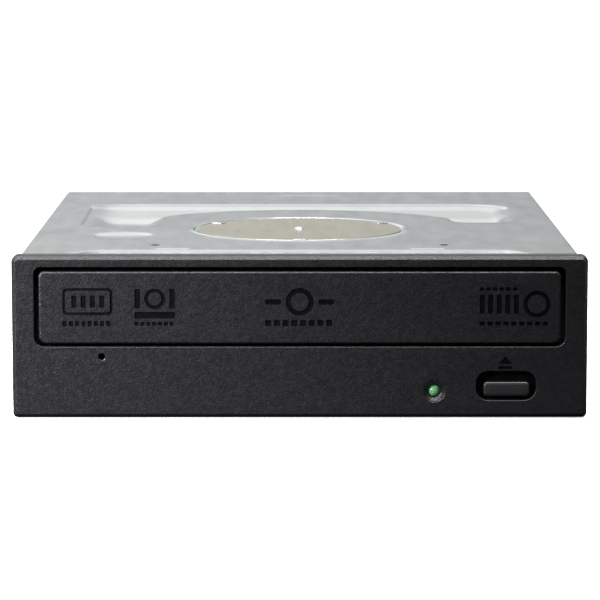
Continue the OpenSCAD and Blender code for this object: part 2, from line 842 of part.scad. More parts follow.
module clamp_puck() {
    color("#ece9de")
    at_disc()
        difference() {
            union() {
                post(puck_r, puck_z, [0, 0]);
                post(puck_flange_r, [puck_z[1], puck_z[1] + 1.4], [0, 0]);
                post(1, [puck_z[1] + 1.3, puck_z[1] + 1.6], [0, 0]);
            }
            post(8.6, [puck_z[0] - 1, 36.9], [0, 0]);
            post(7.6, [puck_z[0] - 1, 38.05], [0, 0]);
            tube(12.4, 9.6, [puck_z[0] - 1, puck_z[0] + 0.5], [0, 0]);
        }
}

module clamp_yoke() {
    color("#b8bbbd") at_disc() tube(7.5, 2.5, [36.95, 38], [0, 0]);
}

// ---------- sub-chassis and traverse ----------

module sub_chassis() {
    wall = 2.2;
    color("#3c3e43")
    difference() {
        union() {
            difference() {
                span([-chassis_x, chassis_x], chassis_y, chassis_z);
                span([-chassis_x + wall, chassis_x - wall], [chassis_y[0] + wall, 64], [0, 40]);
            }
            both_sides() {
                for (p = damper_at)
                    span([p[0] - 4.4, chassis_x - 0.1], [p[1] - 4.6, p[1] + 4.6], [chassis_z[0], damper_z[0]]);
                rod_along_x(trunnion_r, [chassis_x - 0.1, 56.2], [pivot[1], pivot[2]]);
                rod_along_y(cam_pin_r, [slider_y[0] - 0.2, chassis_y[0] + 0.1], [cam_pin_x, cam_pin_z]);
            }
            // bar that the pickup's flex is clipped under
            span([-17, 17], [67.5, 69.5], [10.6, chassis_z[0] + 0.1]);
        }
        both_sides()
            for (p = damper_at) post(1.65, [10, 30], p);
        both_sides() span([18, chassis_x - 6], [66, 72], [chassis_z[0] - 1, 20]);
        span([-16, 16], [60, 67], [chassis_z[0] - 1, 20]);
    }
}

module traverse_plate() {
    color("#b0b5b8")
    difference() {
        union() {
            span([-plate_x, plate_x], plate_y, plate_z);
            both_sides()
                for (p = damper_at)
                    span([plate_x - 1, 49.4], [p[1] - 4.4, p[1] + 4.4], plate_z);
            span([-plate_x, -plate_x + 1], [-22, 46], [18.4, plate_z[0] + 0.1]);
        }
        span([-window_x, window_x], window_y, [0, 40]);
        span([30.6, 42.4], [-26.5, screw_y[0]], [0, 40]);
        post(7.4, [0, 40], [0, disc_y]);
        both_sides()
            for (p = damper_at) post(damper_groove_r + 0.1, [0, 40], p);
    }
}

module dampers() {
    color("#1d1e20")
    both_sides()
        for (p = damper_at)
            difference() {
                post(4.2, damper_z, p);
                tube(5, damper_groove_r, [plate_z[0] - 0.05, plate_z[1] + 0.05], p);
                post(1.7, [10, 30], p);
            }
}

module damper_screws() {
    color("#9a9ea0")
    both_sides()
        for (p = damper_at) {
            post(1.6, [chassis_z[0] + 0.5, damper_z[1] + 0.1], p);
            tube(3.2, 0.9, [damper_z[1], damper_z[1] + 0.8], p);
            post(1, [damper_z[1], damper_z[1] + 0.3], p);
        }
}

module guide_rods() {
    color("#d3d6d8")
    for (x = [-rod_x, rod_x]) rod_along_y(rod_r, rod_y, [x, rod_z]);
}

module rod_holders() {
    color("#46494e")
    for (x = [-rod_x, rod_x], y = [[rod_y[0], rod_y[0] + 4.6], [window_y[1] + 0.3, rod_y[1]]])
        difference() {
            span([x - 3.4, x + 3.4], y, [14.8, plate_z[0] - 0.05]);
            rod_along_y(rod_r + 0.02, [y[0] - 1, y[1] + 1], [x, rod_z]);
        }
}

module spindle_base() {
    color("#3f6b46")
    difference() {
        union() {
            span([-17, 17], [disc_y - 15, disc_y + 10], [19.4, plate_z[0] - 0.05]);
            post(4, [15.4, 22.2], [0, disc_y]);
            span([-12, -4], [disc_y - 14.6, disc_y - 10], [17.6, 19.5]);
        }
        post(shaft_r + 0.04, [15.4 + 0.8, 40], [0, disc_y]);
    }
}

module spindle_stator() {
    poles = 9;
    color("#b5683a")
    translate([0, disc_y, 23])
        difference() {
            union() {
                cylinder(r = 5.2, h = 4.6);
                for (k = [0 : poles - 1])
                    rotate(360 * k / poles) {
                        translate([4, -1.2, 0]) cube([7.4, 2.4, 4.6]);
                        translate([10.4, -2.8, 0]) cube([1.2, 5.6, 4.6]);
                    }
            }
            translate([0, 0, -1]) cylinder(r = 3.9, h = 8);
        }
}

module rotor_can() {
    color("#b7bbbe")
    at_disc()
        difference() {
            post(rotor_r, rotor_z, [0, 0]);
            post(rotor_r - 0.9, [0, rotor_z[1] - 0.9], [0, 0]);
            post(shaft_r, [0, 40], [0, 0]);
        }
}

module rotor_magnet() {
    color("#4b4d50") at_disc() tube(rotor_r - 0.92, rotor_r - 1.7, [rotor_z[0] + 0.3, rotor_z[1] - 1], [0, 0]);
}

module spindle_shaft() {
    color("#d6d8da") at_disc() post(shaft_r - 0.01, [16.3, 34.6], [0, 0]);
}

module turntable() {
    color("#2b2c30")
    at_disc()
        difference() {
            post(turntable_r, table_z, [0, 0]);
            tube(11.8, hub_r + 0.6, [table_z[1] - 1.2, table_z[1] + 1], [0, 0]);
            post(shaft_r, [0, 40], [0, 0]);
        }
}

module turntable_pad() {
    color("#141517") at_disc() tube(turntable_r - 0.2, 12.4, [table_z[1], play_z], [0, 0]);
}

// Cone that centres the disc's hole, with a steel ring for the clamper's magnet
module centring_hub() {
    rim_z = [table_z[1] + 0.02, 33.8];
    color("#303237")
    at_disc()
        difference() {
            union() {
                post(hub_r, rim_z, [0, 0]);
                translate([0, 0, rim_z[1] - 0.01]) cylinder(r1 = hub_r, r2 = hub_r - 1.6, h = 1.5);
            }
            post(shaft_r, [0, 40], [0, 0]);
            tube(5, 2.6, [35, 40], [0, 0]);
        }
}

module sled_motor() {
    color("#a7abad")
    difference() {
        union() {
            rod_along_y(5, [screw_y[0] - 15, screw_y[0]], [screw_x, rod_z]);
            span([screw_x - 3, screw_x + 3], [screw_y[0] - 11, screw_y[0] - 2], [rod_z - 5.4, rod_z - 4]);
        }
        rod_along_y(screw_r + 0.1, [screw_y[0] - 6, screw_y[0] + 1], [screw_x, rod_z]);
    }
}

module screw_bracket() {
    top = plate_z[0] - 0.05;
    color("#b3b7b9")
    difference() {
        union() {
            span([31, 40.9], [screw_y[0], screw_y[0] + 1], [12.4, top]);
            span([33, 40.9], [screw_y[1], screw_y[1] + 1], [13.4, top]);
            span([40.1, 40.9], [screw_y[0], screw_y[1] + 1], [14, top]);
        }
        rod_along_y(screw_r + 0.1, [screw_y[0] - 1, screw_y[0] + 2], [screw_x, rod_z]);
        rod_along_y(0.85, [screw_y[1] - 1, screw_y[1] + 2], [screw_x, rod_z]);
    }
}

module lead_screw() {
    color("#d0d3d5") {
        rod_along_y(screw_r, [screw_y[0] - 4, screw_y[1] - 0.2], [screw_x, rod_z]);
        rod_along_y(0.8, [screw_y[1] - 0.3, screw_y[1] + 1.2], [screw_x, rod_z]);
    }
}

module pickup_body() {
    pocket_y = [lens_y - 5.5, lens_y + 9.5];
    color("#8f9497")
    difference() {
        union() {
            span([-pickup_x, pickup_x], pickup_y, pickup_z);
            span([-20, 20], [pickup_y[0], pickup_y[1] - 1], [pickup_z[1] - 0.1, pickup_top_z]);
            // bearing ears on the left rod, fork on the right rod
            for (y = [pickup_y[0], pickup_y[1] - 4.5])
                span([-31, -pickup_x + 0.1], [y, y + 4.5], [pickup_z[0], 19.8]);
            span([pickup_x - 0.1, 30.6], [pickup_y[0] + 8, pickup_y[0] + 13], [pickup_z[0], 19.8]);
            rod_along_y(2.4, [pickup_y[1] - 0.1, pickup_y[1] + 1.2], [-8, 18]);
            rod_along_x(2.6, [-pickup_x - 2, -pickup_x + 0.1], [lens_y + 5, 18.2]);
        }
        rod_along_y(rod_r + 0.03, [pickup_y[0] - 1, pickup_y[1] + 1], [-rod_x, rod_z]);
        span([25.4, 31], [pickup_y[0] + 7, pickup_y[0] + 14], [rod_z - rod_r - 0.05, rod_z + rod_r + 0.05]);
        span([-8.4, 8.4], pocket_y, [24, 40]);
        span([-14, 14], [lens_y + 11, lens_y + 12.6], [26, 40]);
    }
}

module pickup_cover() {
    color("#c5c9cb")
    difference() {
        span([-19.6, 19.6], [pickup_y[0] + 0.2, pickup_y[1] - 1.2], [pickup_top_z + 0.02, 30.2]);
        span([-8.4, 8.4], [lens_y - 5.5, lens_y + 9.5], [24, 40]);
        span([-18.8, 18.8], [pickup_y[0] + 1, pickup_y[1] - 2], [24, 29.4]);
    }
}

module lead_nut() {
    nut_y = [pickup_y[0] + 14.5, pickup_y[0] + 21.5];
    color("#dedbd0")
    difference() {
        union() {
            span([screw_x - 3, screw_x + 3], nut_y, [14.4, 20.2]);
            span([pickup_x + 0.05, screw_x - 2.9], [nut_y[0], nut_y[0] + 4], [19, 20.2]);
        }
        rod_along_y(screw_r + 0.05, [nut_y[0] - 1, nut_y[1] + 1], [screw_x, rod_z]);
    }
}

module lens_holder() {
    color("#1f2124")
    difference() {
        union() {
            span([-6.6, 6.6], [lens_y - 4.2, lens_y + 4.2], [27.2, 30.4]);
            span([-4, 4], [lens_y + 4.1, lens_y + 7], [27.2, 29]);
        }
        post(2.25, [20, 40], [-2.8, lens_y]);
        post(1.65, [20, 40], [3.2, lens_y]);
    }
}

// Two plano-convex lenses, each a cap of a sphere on a short cylinder
module objective_lenses() {
    color("#6f8fb8")
    for (lens = [[-2.8, 2.22], [3.2, 1.62]])
        translate([lens[0], lens_y, 29.6]) {
            cylinder(r = lens[1], h = 1);
            intersection() {
                translate([0, 0, 0.99]) cylinder(r = lens[1], h = 2);
                translate([0, 0, 1.5 - 1.4 * lens[1]]) sphere(1.4 * lens[1]);
            }
        }
}

// Flat flex that runs back from the pickup and folds under to the sub-chassis
module pickup_flex() {
    width = 22;
    thin = 0.3;
    fold_r = 2;
    y = [pickup_y[1] + 0.3, pickup_y[1] + 12.3, 69.5];
    top_z = pickup_z[0] - 0.3 - thin;
    low_z = top_z + thin - 2 * fold_r;
    color("#c98b3a") {
        span([-width / 2, width / 2], [y[0], y[1]], [top_z, top_z + thin]);
        span([-width / 2, width / 2], [y[1], y[2]], [low_z, low_z + thin]);
        difference() {
            rod_along_x(fold_r, [-width / 2, width / 2], [y[1], top_z + thin - fold_r]);
            rod_along_x(fold_r - thin, [-width, width], [y[1], top_z + thin - fold_r]);
            span([-width, width], [y[1] - 2 * fold_r, y[1]], [0, 20]);
        }
    }
}

// ---------- boards ----------

module main_board() {
    color("#1f5a36")
    difference() {
        span([-board_x, board_x], board_y, board_z);
        both_sides() {
            for (p = board_screw_at) post(1.3, [0, 9], p);
            post(4.2, [0, 9], case_screw_at[1]);
            span([63, 70], [73, 90], [0, 9]);
        }
    }
}

module board_chips() {
    // [centre x, centre y, width, depth, height]
    chips = [[-6, 22, 20, 20, 1.4], [20, 30, 12, 8, 1.1], [-34, 34, 8, 6, 1.4], [21, -9, 14, 8, 1.4],
             [-30, -8, 10, 7, 1.4], [6, 52, 8, 5, 1.4], [-22, 58, 6, 5, 1.2]];
    color("#1a1b1d")
    for (c = chips)
        span([c[0] - c[2] / 2, c[0] + c[2] / 2], [c[1] - c[3] / 2, c[1] + c[3] / 2], [board_z[1], board_z[1] + c[4]]);
}

module board_capacitors() {
    color("#c3c6c8")
    for (p = [[60, 20], [60, 30], [60, 42], [-60, 20], [-60, 34]]) {
        post(3, [board_z[1] + 0.6, board_z[1] + 4.6], p);
        post(3.3, [board_z[1], board_z[1] + 0.7], p);
    }
}

module board_connectors() {
    // [centre x, centre y, width]
    sockets = [[0, 64, 26], [22, -34, 26], [-24, -34, 16]];
    color("#e4e0d2")
    for (s = sockets)
        difference() {
            span([s[0] - s[2] / 2, s[0] + s[2] / 2], [s[1] - 2, s[1] + 2], [board_z[1], board_z[1] + 1.5]);
            span([s[0] - s[2] / 2 + 1, s[0] + s[2] / 2 - 1], [s[1] - 3, s[1]], [board_z[1] + 0.5, board_z[1] + 0.9]);
        }
}

module board_screws() {
    color("#8d9193")
    both_sides()
        for (p = board_screw_at) {
            post(1, [board_z[0] - 0.1, 9.3], p);
            post(2, [board_z[0] - 1, board_z[0]], p);
        }
}

module sata_connector() {
    x = [-53.5, -10.5];
    y = [79, rear_y - 0.4];
    z = [board_z[1], 12];
    mouth_z = [z[0] + 1.4, z[1] - 1.4];
    color("#18191b")
    difference() {
        span(x, y, z);
        difference() {
            span([x[0] + 1.4, x[1] - 1.4], [y[1] - 7, y[1] + 1], mouth_z);
            // tongues that carry the power contacts and the data contacts
            span([x[0] + 2.2, x[0] + 22.6], [y[1] - 8, y[1] - 0.8], [z[0] + 2.6, z[0] + 4]);
            span([x[1] - 14.6, x[1] - 2.2], [y[1] - 8, y[1] - 0.8], [z[0] + 2.6, z[0] + 4]);
            span([x[0] + 24, x[1] - 16], [y[1] - 8, y[1] + 1], [z[0], z[1]]);
        }
    }
}

module sata_contacts() {
    pitch = 1.27;
    y = [rear_y - 7, rear_y - 1.4];
    z = [board_z[1] + 4, board_z[1] + 4.15];
    color("#c9a24b") {
        for (k = [0 : 14]) span([-50.4 + k * pitch, -49.7 + k * pitch], y, z);
        for (k = [0 : 6]) span([-23.5 + k * pitch, -22.8 + k * pitch], y, z);
    }
}

module front_board() {
    color("#2a6a41") span([6, 58], [bezel_back + 3, bezel_back + 33], front_board_z);
}

module front_flex() {
    color("#e8e4d8") {
        span([10, 34], [bezel_back + 31, board_y[0] + 3], [1.5, 1.75]);
        span([10, 34], [bezel_back + 31, bezel_back + 31.3], [1.5, front_board_z[0]]);
        span([10, 34], [board_y[0] + 2.7, board_y[0] + 3], [1.5, board_z[0]]);
    }
}

top_cover();
bottom_cover();
clamper_cap();
front_bezel();
status_led();
led_leads();
dust_felt();
main_frame();
clamp_bridge();
bridge_screws();
case_screws();
loading_motor();
drive_belt();
gear_pins();
front_board();
eject_switch();
position_switch();
front_flex();
main_board();
board_chips();
board_capacitors();
board_connectors();
board_screws();
sata_connector();
sata_contacts();
disc_tray();
tray_door();
eject_button();
switch_plunger();
tray_gear();
pulley_gear();
motor_pulley();
motor_shaft();
cam_slider();
sub_chassis();
traverse_plate();
dampers();
damper_screws();
guide_rods();
rod_holders();
spindle_base();
spindle_stator();
sled_motor();
screw_bracket();
pickup_flex();
rotor_can();
rotor_magnet();
spindle_shaft();
turntable();
turntable_pad();
centring_hub();
lead_screw();
pickup_body();
pickup_cover();
lead_nut();
lens_holder();
objective_lenses();
clamp_puck();
clamp_yoke();
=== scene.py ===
"""Looks of a half-height optical disc drive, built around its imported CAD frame.

The case, bezel, door, button and status light are rebuilt as finished meshes that replace
their CAD nodes. Every other CAD node keeps its shape and gets a material and rounded edges.

Sizes inside this script are in millimetres and become metres when a mesh is made.
X runs across the front, Y from the bezel to the rear, and Z up.
"""

import math

import bmesh
import bpy
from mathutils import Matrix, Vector
from mathutils.geometry import delaunay_2d_cdt


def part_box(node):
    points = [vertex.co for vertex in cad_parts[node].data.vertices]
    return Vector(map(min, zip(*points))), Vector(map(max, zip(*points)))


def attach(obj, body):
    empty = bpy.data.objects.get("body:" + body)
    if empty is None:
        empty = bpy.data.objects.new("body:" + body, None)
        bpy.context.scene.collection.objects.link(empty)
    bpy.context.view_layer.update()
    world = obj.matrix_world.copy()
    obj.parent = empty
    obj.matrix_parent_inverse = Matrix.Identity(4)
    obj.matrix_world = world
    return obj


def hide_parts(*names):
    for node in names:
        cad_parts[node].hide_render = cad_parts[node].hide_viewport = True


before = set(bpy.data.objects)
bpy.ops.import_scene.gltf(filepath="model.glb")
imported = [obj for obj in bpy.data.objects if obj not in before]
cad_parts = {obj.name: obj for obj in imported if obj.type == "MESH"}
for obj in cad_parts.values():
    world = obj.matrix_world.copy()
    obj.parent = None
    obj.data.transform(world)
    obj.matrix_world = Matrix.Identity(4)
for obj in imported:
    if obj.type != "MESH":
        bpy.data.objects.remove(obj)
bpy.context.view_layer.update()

MM = 0.001
SMOOTH_ANGLE = math.radians(32)
WELD_DISTANCE = 0.002 * MM


def box_mm(node):
    """Lowest and highest corner of a CAD node, in millimetres."""
    low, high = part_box(node)
    return low / MM, high / MM


BEZEL = box_mm("front_bezel")
COVER = box_mm("top_cover")
DOOR = box_mm("tray_door")
CAP = box_mm("clamper_cap")
BUTTON = box_mm("eject_button")
LED = box_mm("status_led")

FRONT_Y = BEZEL[0].y
BEZEL_BACK = FRONT_Y + 5    # rear of the bezel's outer wall and ribs
CASE_TOP = 41.3
SHEET = 0.6                 # thickness of the cover's steel
BEND = 0.65                 # outer radius of the cover's folds
HUB = Vector(((CAP[0].x + CAP[1].x) / 2, (CAP[0].y + CAP[1].y) / 2))    # middle of the cap
HORN_REAR = 50.6            # rear rim of the lobed recess
PANEL_STEP = 4.0            # spacing of mesh points on the cover's flat areas
SIDES = (-1, 1)             # left, right


# ---------- small helpers ----------

def ease(t):
    """Rises smoothly from 0 to 1 as t goes from 0 to 1."""
    t = min(1, max(0, t))
    return t * t * (3 - 2 * t)


def spaced(start, end, step):
    """Even positions from start to end, no further apart than step."""
    parts = math.ceil(abs(end - start) / step)
    return [start + (end - start) * k / parts for k in range(parts + 1)]


def quarter_turn(parts):
    """Angles from 0 to 90 degrees."""
    return [math.pi / 2 * k / parts for k in range(parts + 1)]


def on_side(side, near, far):
    """Limits along X of something that lies between near and far from the middle, low first."""
    return sorted((side * near, side * far))


# ---------- outlines ----------

def resample(loop, longest):
    """The closed loop with no edge longer than this."""
    out = []
    for i, here in enumerate(loop):
        after = loop[(i + 1) % len(loop)]
        parts = max(1, math.ceil((after - here).length / longest - 1e-6))
        out += [here.lerp(after, k / parts) for k in range(parts)]
    return out


def rounded(corners, step=0.5):
    """A closed loop through corners (x, y, radius), each turned by an arc of that radius.

    step is the length of the arcs' straight pieces.
    """
    loop = []
    count = len(corners)
    for i, (x, y, radius) in enumerate(corners):
        here = Vector((x, y))
        if radius == 0:
            loop.append(here)
            continue
        back = (Vector(corners[i - 1][:2]) - here).normalized()
        on = (Vector(corners[(i + 1) % count][:2]) - here).normalized()
        half = back.angle(on) / 2    # the arc's centre lies on the corner's bisector
        centre = here + (back + on).normalized() * radius / math.sin(half)
        start = here + back * radius / math.tan(half) - centre
        end = here + on * radius / math.tan(half) - centre
        first = math.atan2(start.y, start.x)
        turn = math.atan2(end.y, end.x) - first
        turn = (turn + math.pi) % (2 * math.pi) - math.pi
        parts = max(3, math.ceil(abs(turn) * radius / step))
        for k in range(parts + 1):
            angle = first + turn * k / parts
            loop.append(centre + radius * Vector((math.cos(angle), math.sin(angle))))
    return loop


def rectangle(x, y, radii):
    """A loop round the box given by x and y limits. radii run from the low corner, anticlockwise."""
    if not isinstance(radii, (list, tuple)):
        radii = [radii] * 4
    spots = [(x[0], y[0]), (x[1], y[0]), (x[1], y[1]), (x[0], y[1])]
    return rounded([(*spot, radius) for spot, radius in zip(spots, radii)])


def circle(radius, centre, parts):
    """A closed loop of points round the centre."""
    angles = [2 * math.pi * k / parts for k in range(parts)]
    return [Vector(centre) + radius * Vector((math.cos(a), math.sin(a))) for a in angles]


def grown(loop, distance):
    """The loop moved outwards by distance, corner by corner."""
    out = []
    count = len(loop)
    for i, here in enumerate(loop):
        into = (here - loop[i - 1]).normalized()
        away = (loop[(i + 1) % count] - here).normalized()
        normal_in = Vector((into.y, -into.x))
        normal_out = Vector((away.y, -away.x))
        both = normal_in + normal_out
        # the lower limit keeps a sharp corner from shooting out
        out.append(here + both * (distance / max(0.4, 1 + normal_in.dot(normal_out))))
    return out


def inside(point, loop):
    """Is the point inside the closed loop?"""
    hit = False
    for i, b in enumerate(loop):
        a = loop[i - 1]
        if (a.y > point.y) != (b.y > point.y):
            if point.x < (b.x - a.x) * (point.y - a.y) / (b.y - a.y) + a.x:
                hit = not hit
    return hit


# ---------- wall profiles: (growth, depth) pairs that Shell.loft follows ----------

def s_curve(width, depth, parts=8):
    """A pressed wall, from the sheet's level to the recess's floor."""
    return [(width * (0.5 - k / parts), depth * ease(k / parts)) for k in range(parts + 1)]


def edge_round(radius, parts=4):
    """A rounded front edge, from the face to the side."""
    return [(radius * math.sin(a) - radius, radius - radius * math.cos(a)) for a in quarter_turn(parts)]


def mouth_round(radius, parts=3):
    """As edge_round, for the rim of an opening."""
    return [(-growth, depth) for growth, depth in edge_round(radius, parts)]


# ---------- meshes ----------

class Shell:
    """One mesh gathered from bands between loops and flat fills.

    place(x, y, depth) turns a loop's point and a depth below the face into X, Y, Z.
    A second Shell that shares the first one's mesh adds faces that lie in another plane.
    """

    def __init__(self, place, mesh=None):
        self.mesh = bmesh.new() if mesh is None else mesh
        self.place = place

    def points(self, loop, depth):
        """New vertices for a loop, at one depth or at the depth that a function gives for each point."""
        depths = [depth(p) if callable(depth) else depth for p in loop]
        return [self.mesh.verts.new(Vector(self.place(p.x, p.y, d)) * MM) for p, d in zip(loop, depths)]

    def loft(self, loop, profile, slot=0):
        """Bands that follow the loop, grown and sunk as the (growth, depth) profile says."""
        rings = [self.points(grown(loop, growth), depth) for growth, depth in profile]
        for a, b in zip(rings, rings[1:]):
            for i in range(len(a)):
                face = self.mesh.faces.new((a[i - 1], a[i], b[i], b[i - 1]))
                face.material_index = slot

    def fill(self, outer, holes, depth, slot=0, spacing=0):
        """The region inside outer and outside the holes, at one depth or at a depth for each point.

        With a spacing it also has inner points this far apart.
        """
        spots, edges = [], []
        for loop in [outer] + holes:
            first = len(spots)
            spots += loop
            edges += [(first + i, first + (i + 1) % len(loop)) for i in range(len(loop))]
        if spacing:
            spots += self.inner_points(outer, holes, spacing)
        made, _, faces, *_ = delaunay_2d_cdt(spots, edges, [], 1, 1e-5)
        verts = self.points(made, depth)
        for corners in faces:
            middle = sum((made[i] for i in corners), Vector((0, 0))) / len(corners)
            if inside(middle, outer) and not any(inside(middle, hole) for hole in holes):
                face = self.mesh.faces.new([verts[i] for i in corners])
                face.material_index = slot

    @staticmethod
    def inner_points(outer, holes, spacing):
        """A square grid of points that keeps clear of the outline and the holes."""
        clearance = spacing * 0.4
        low = Vector((min(p.x for p in outer), min(p.y for p in outer)))
        high = Vector((max(p.x for p in outer), max(p.y for p in outer)))
        around = grown(outer, -clearance)
        keep_out = [grown(hole, clearance) for hole in holes]
        out = []
        for row in range(1, int((high.y - low.y) / spacing) + 1):
            for column in range(1, int((high.x - low.x) / spacing) + 1):
                p = low + Vector((column, row)) * spacing
                if inside(p, around) and not any(inside(p, hole) for hole in keep_out):
                    out.append(p)
        return out

    def pocket(self, loop, depth, slot, islands=(), marks_on_islands=()):
        """A debossed mark: its wall and floor, with islands left at the face's level.

        marks_on_islands are the outlines of other pockets, which the islands' tops leave open.
        """
        draft = 0.05
        wall = [(0, 0), (-0.03, depth * 0.3), (-draft, depth)]
        self.loft(loop, wall, slot)
        for island in islands:
            self.loft(island, [(-growth, sink) for growth, sink in wall], slot)
            self.fill(island, list(marks_on_islands), 0)
        self.fill(grown(loop, -draft), [grown(island, draft) for island in islands], depth, slot)

    def block(self, low, high, bevel):
        """A box with its edges rounded, given by its corners in X, Y, Z."""
        verts = bmesh.ops.create_cube(self.mesh, size=1)["verts"]
        middle, size = (Vector(low) + Vector(high)) / 2, Vector(high) - Vector(low)
        for v in verts:
            v.co = (middle + Vector(a * b for a, b in zip(v.co, size))) * MM
        edges = list({e for v in verts for e in v.link_edges})
        bmesh.ops.bevel(self.mesh, geom=edges, offset=bevel * MM, segments=2, affect="EDGES")

    def finish(self, name, body, node, slot, looks, up=None):
        """Makes the gathered faces one object that rides on body and stands for the CAD node.

        slot is not used. up is given for an open sheet: its highest face along
        up has to look that way.
        """
        mesh = self.mesh
        bmesh.ops.remove_doubles(mesh, verts=mesh.verts, dist=WELD_DISTANCE)
        bmesh.ops.delete(mesh, geom=[v for v in mesh.verts if not v.link_faces], context="VERTS")
        bmesh.ops.recalc_face_normals(mesh, faces=mesh.faces)
        if up is not None:
            top = max(mesh.faces, key=lambda face: face.calc_center_median().dot(up))
            if top.normal.dot(up) < 0:
                bmesh.ops.reverse_faces(mesh, faces=mesh.faces)
        data = bpy.data.meshes.new(name)
        mesh.to_mesh(data)
        mesh.free()
        for look in looks:
            data.materials.append(look)
        data.shade_smooth()
        data.set_sharp_from_angle(angle=SMOOTH_ANGLE)
        piece = bpy.data.objects.new(name, data)
        bpy.context.scene.collection.objects.link(piece)
        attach(piece, body)
        if node:
            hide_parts(node)
        return piece


def weigh_normals(piece):
    """Shades flat faces as flat right up to their rounded edges."""
    modifier = piece.modifiers.new("weighted normals", "WEIGHTED_NORMAL")
    modifier.keep_sharp = True


def sheet_thickness(piece, thickness):
    """Thickens an open sheet inwards."""
    modifier = piece.modifiers.new("sheet", "SOLIDIFY")
    modifier.thickness = thickness * MM
    modifier.offset = -1
    modifier.use_even_offset = False


# ---------- materials ----------

# The colour Mix node has several sockets of the same name, so they are used by number.
MIX_FACTOR, MIX_FIRST, MIX_SECOND, MIX_RESULT = 0, 6, 7, 2
# Most of a noise texture's values lie in this range.
NOISE_RANGE = (0.3, 0.7)


class Graph:
    """A node tree, with short ways to add nodes. An input may be a value or a node's output."""

    def __init__(self, tree):
        self.tree = tree

    def put(self, node, inputs):
        """Fills a node's inputs, each given by its name or number."""
        for key, value in inputs.items():
            if isinstance(value, bpy.types.NodeSocket):
                self.tree.links.new(value, node.inputs[key])
            else:
                node.inputs[key].default_value = value

    def node(self, kind, inputs, **settings):
        """A new node. Its settings are made first, because some of them change its inputs."""
        made = self.tree.nodes.new(kind)
        for name, value in settings.items():
            setattr(made, name, value)
        self.put(made, inputs)
        return made

    def arithmetic(self, operation, a, b):
        return self.node("ShaderNodeMath", {0: a, 1: b}, operation=operation).outputs[0]

    def spread(self, source, old, new, interpolation="LINEAR"):
        """The source's range old, stretched over the range new."""
        inputs = {"Value": source, "From Min": old[0], "From Max": old[1], "To Min": new[0], "To Max": new[1]}
        made = self.node("ShaderNodeMapRange", inputs, interpolation_type=interpolation)
        return made.outputs["Result"]

    def mix(self, factor, first, second):
        """A colour that goes from first to second as the factor goes from 0 to 1."""
        inputs = {MIX_FACTOR: factor, MIX_FIRST: first, MIX_SECOND: second}
        return self.node("ShaderNodeMix", inputs, data_type="RGBA").outputs[MIX_RESULT]


class Look(Graph):
    """A material whose colour, roughness and bump vary over the object. Sizes are in millimetres."""

    def __init__(self, name, colour, roughness, metallic=0.0):
        self.material = bpy.data.materials.new(name)
        self.material.use_nodes = True
        super().__init__(self.material.node_tree)
        self.shader = self.tree.nodes["Principled BSDF"]
        self.colour = colour
        self.roughness = roughness
        self.set({"Base Color": (*colour, 1), "Roughness": roughness, "Metallic": metallic})
        self.where = self.node("ShaderNodeTexCoord", {}).outputs["Object"]
        self.last_bump = None

    def set(self, inputs):
        """Fills inputs of the surface shader."""
        self.put(self.shader, inputs)

    def noise(self, size, detail, stretch=(1, 1, 1)):
        """Noise with features of about this size. stretch makes them longer along an axis."""
        scale = [1 / factor for factor in stretch]
        where = self.node("ShaderNodeMapping", {"Vector": self.where, "Scale": scale}).outputs["Vector"]
        inputs = {"Vector": where, "Scale": 1 / (size * MM), "Detail": detail}
        return self.node("ShaderNodeTexNoise", inputs).outputs["Fac"]

    def stripes(self, size, direction, distortion=0.0):
        """Soft stripes that follow each other along the direction."""
        inputs = {"Vector": self.where, "Scale": 1 / (size * MM), "Distortion": distortion}
        return self.node("ShaderNodeTexWave", inputs, bands_direction=direction).outputs["Fac"]

    def vary_roughness(self, source, amount):
        """Lets the source move the roughness up and down by this amount."""
        low, high = max(0.02, self.roughness - amount), min(1.0, self.roughness + amount)
        self.set({"Roughness": self.spread(source, NOISE_RANGE, (low, high))})

    def vary_colour(self, source, other, source_range=NOISE_RANGE):
        """Mixes in the other colour where the source is high in its range."""
        factor = self.spread(source, source_range, (0, 1))
        self.set({"Base Color": self.mix(factor, (*self.colour, 1), (*other, 1))})

    def vary_shade(self, source, brightness, source_range=NOISE_RANGE):
        """Mixes in the same colour at another brightness."""
        self.vary_colour(source, [min(1, c * brightness) for c in self.colour], source_range)

    def bump(self, source, height):
        """Adds relief of this height to the bumps made before."""
        inputs = {"Height": source, "Strength": 1.0, "Distance": height * MM}
        if self.last_bump is not None:
            inputs["Normal"] = self.last_bump
        self.last_bump = self.node("ShaderNodeBump", inputs).outputs["Normal"]
        self.set({"Normal": self.last_bump})


def steel(name, colour, roughness, grain=0.002, wave=0.012):
    """Rolled sheet: fine grain along the rolling direction, and slow waves over the surface."""
    look = Look(name, colour, roughness, metallic=1.0)
    look.vary_shade(look.noise(9, 4), 0.93)
    look.vary_roughness(look.noise(4, 3, (1, 4, 1)), 0.02)
    look.bump(look.noise(28, 1), wave)
    look.bump(look.noise(0.35, 3, (1, 3, 1)), grain)
    return look.material


def polished(name, colour, roughness):
    """Turned or plated metal: streaks, and fine rings of scratches."""
    look = Look(name, colour, roughness, metallic=1.0)
    look.vary_roughness(look.noise(0.5, 3, (1, 1, 4)), 0.06)
    look.vary_shade(look.noise(5, 3), 0.88)
    look.bump(look.noise(0.12, 2, (6, 1, 1)), 0.002)
    return look.material


def moulded(name, colour, roughness, grain, depth=0.02, specular=0.5):
    """Moulded plastic with a spark-eroded grain."""
    look = Look(name, colour, roughness)
    look.set({"Specular IOR Level": specular})
    look.vary_shade(look.noise(6, 3), 1.18)
    look.vary_roughness(look.noise(grain * 2.2, 2), 0.07)
    look.bump(look.noise(grain, 2), depth)
    return look.material


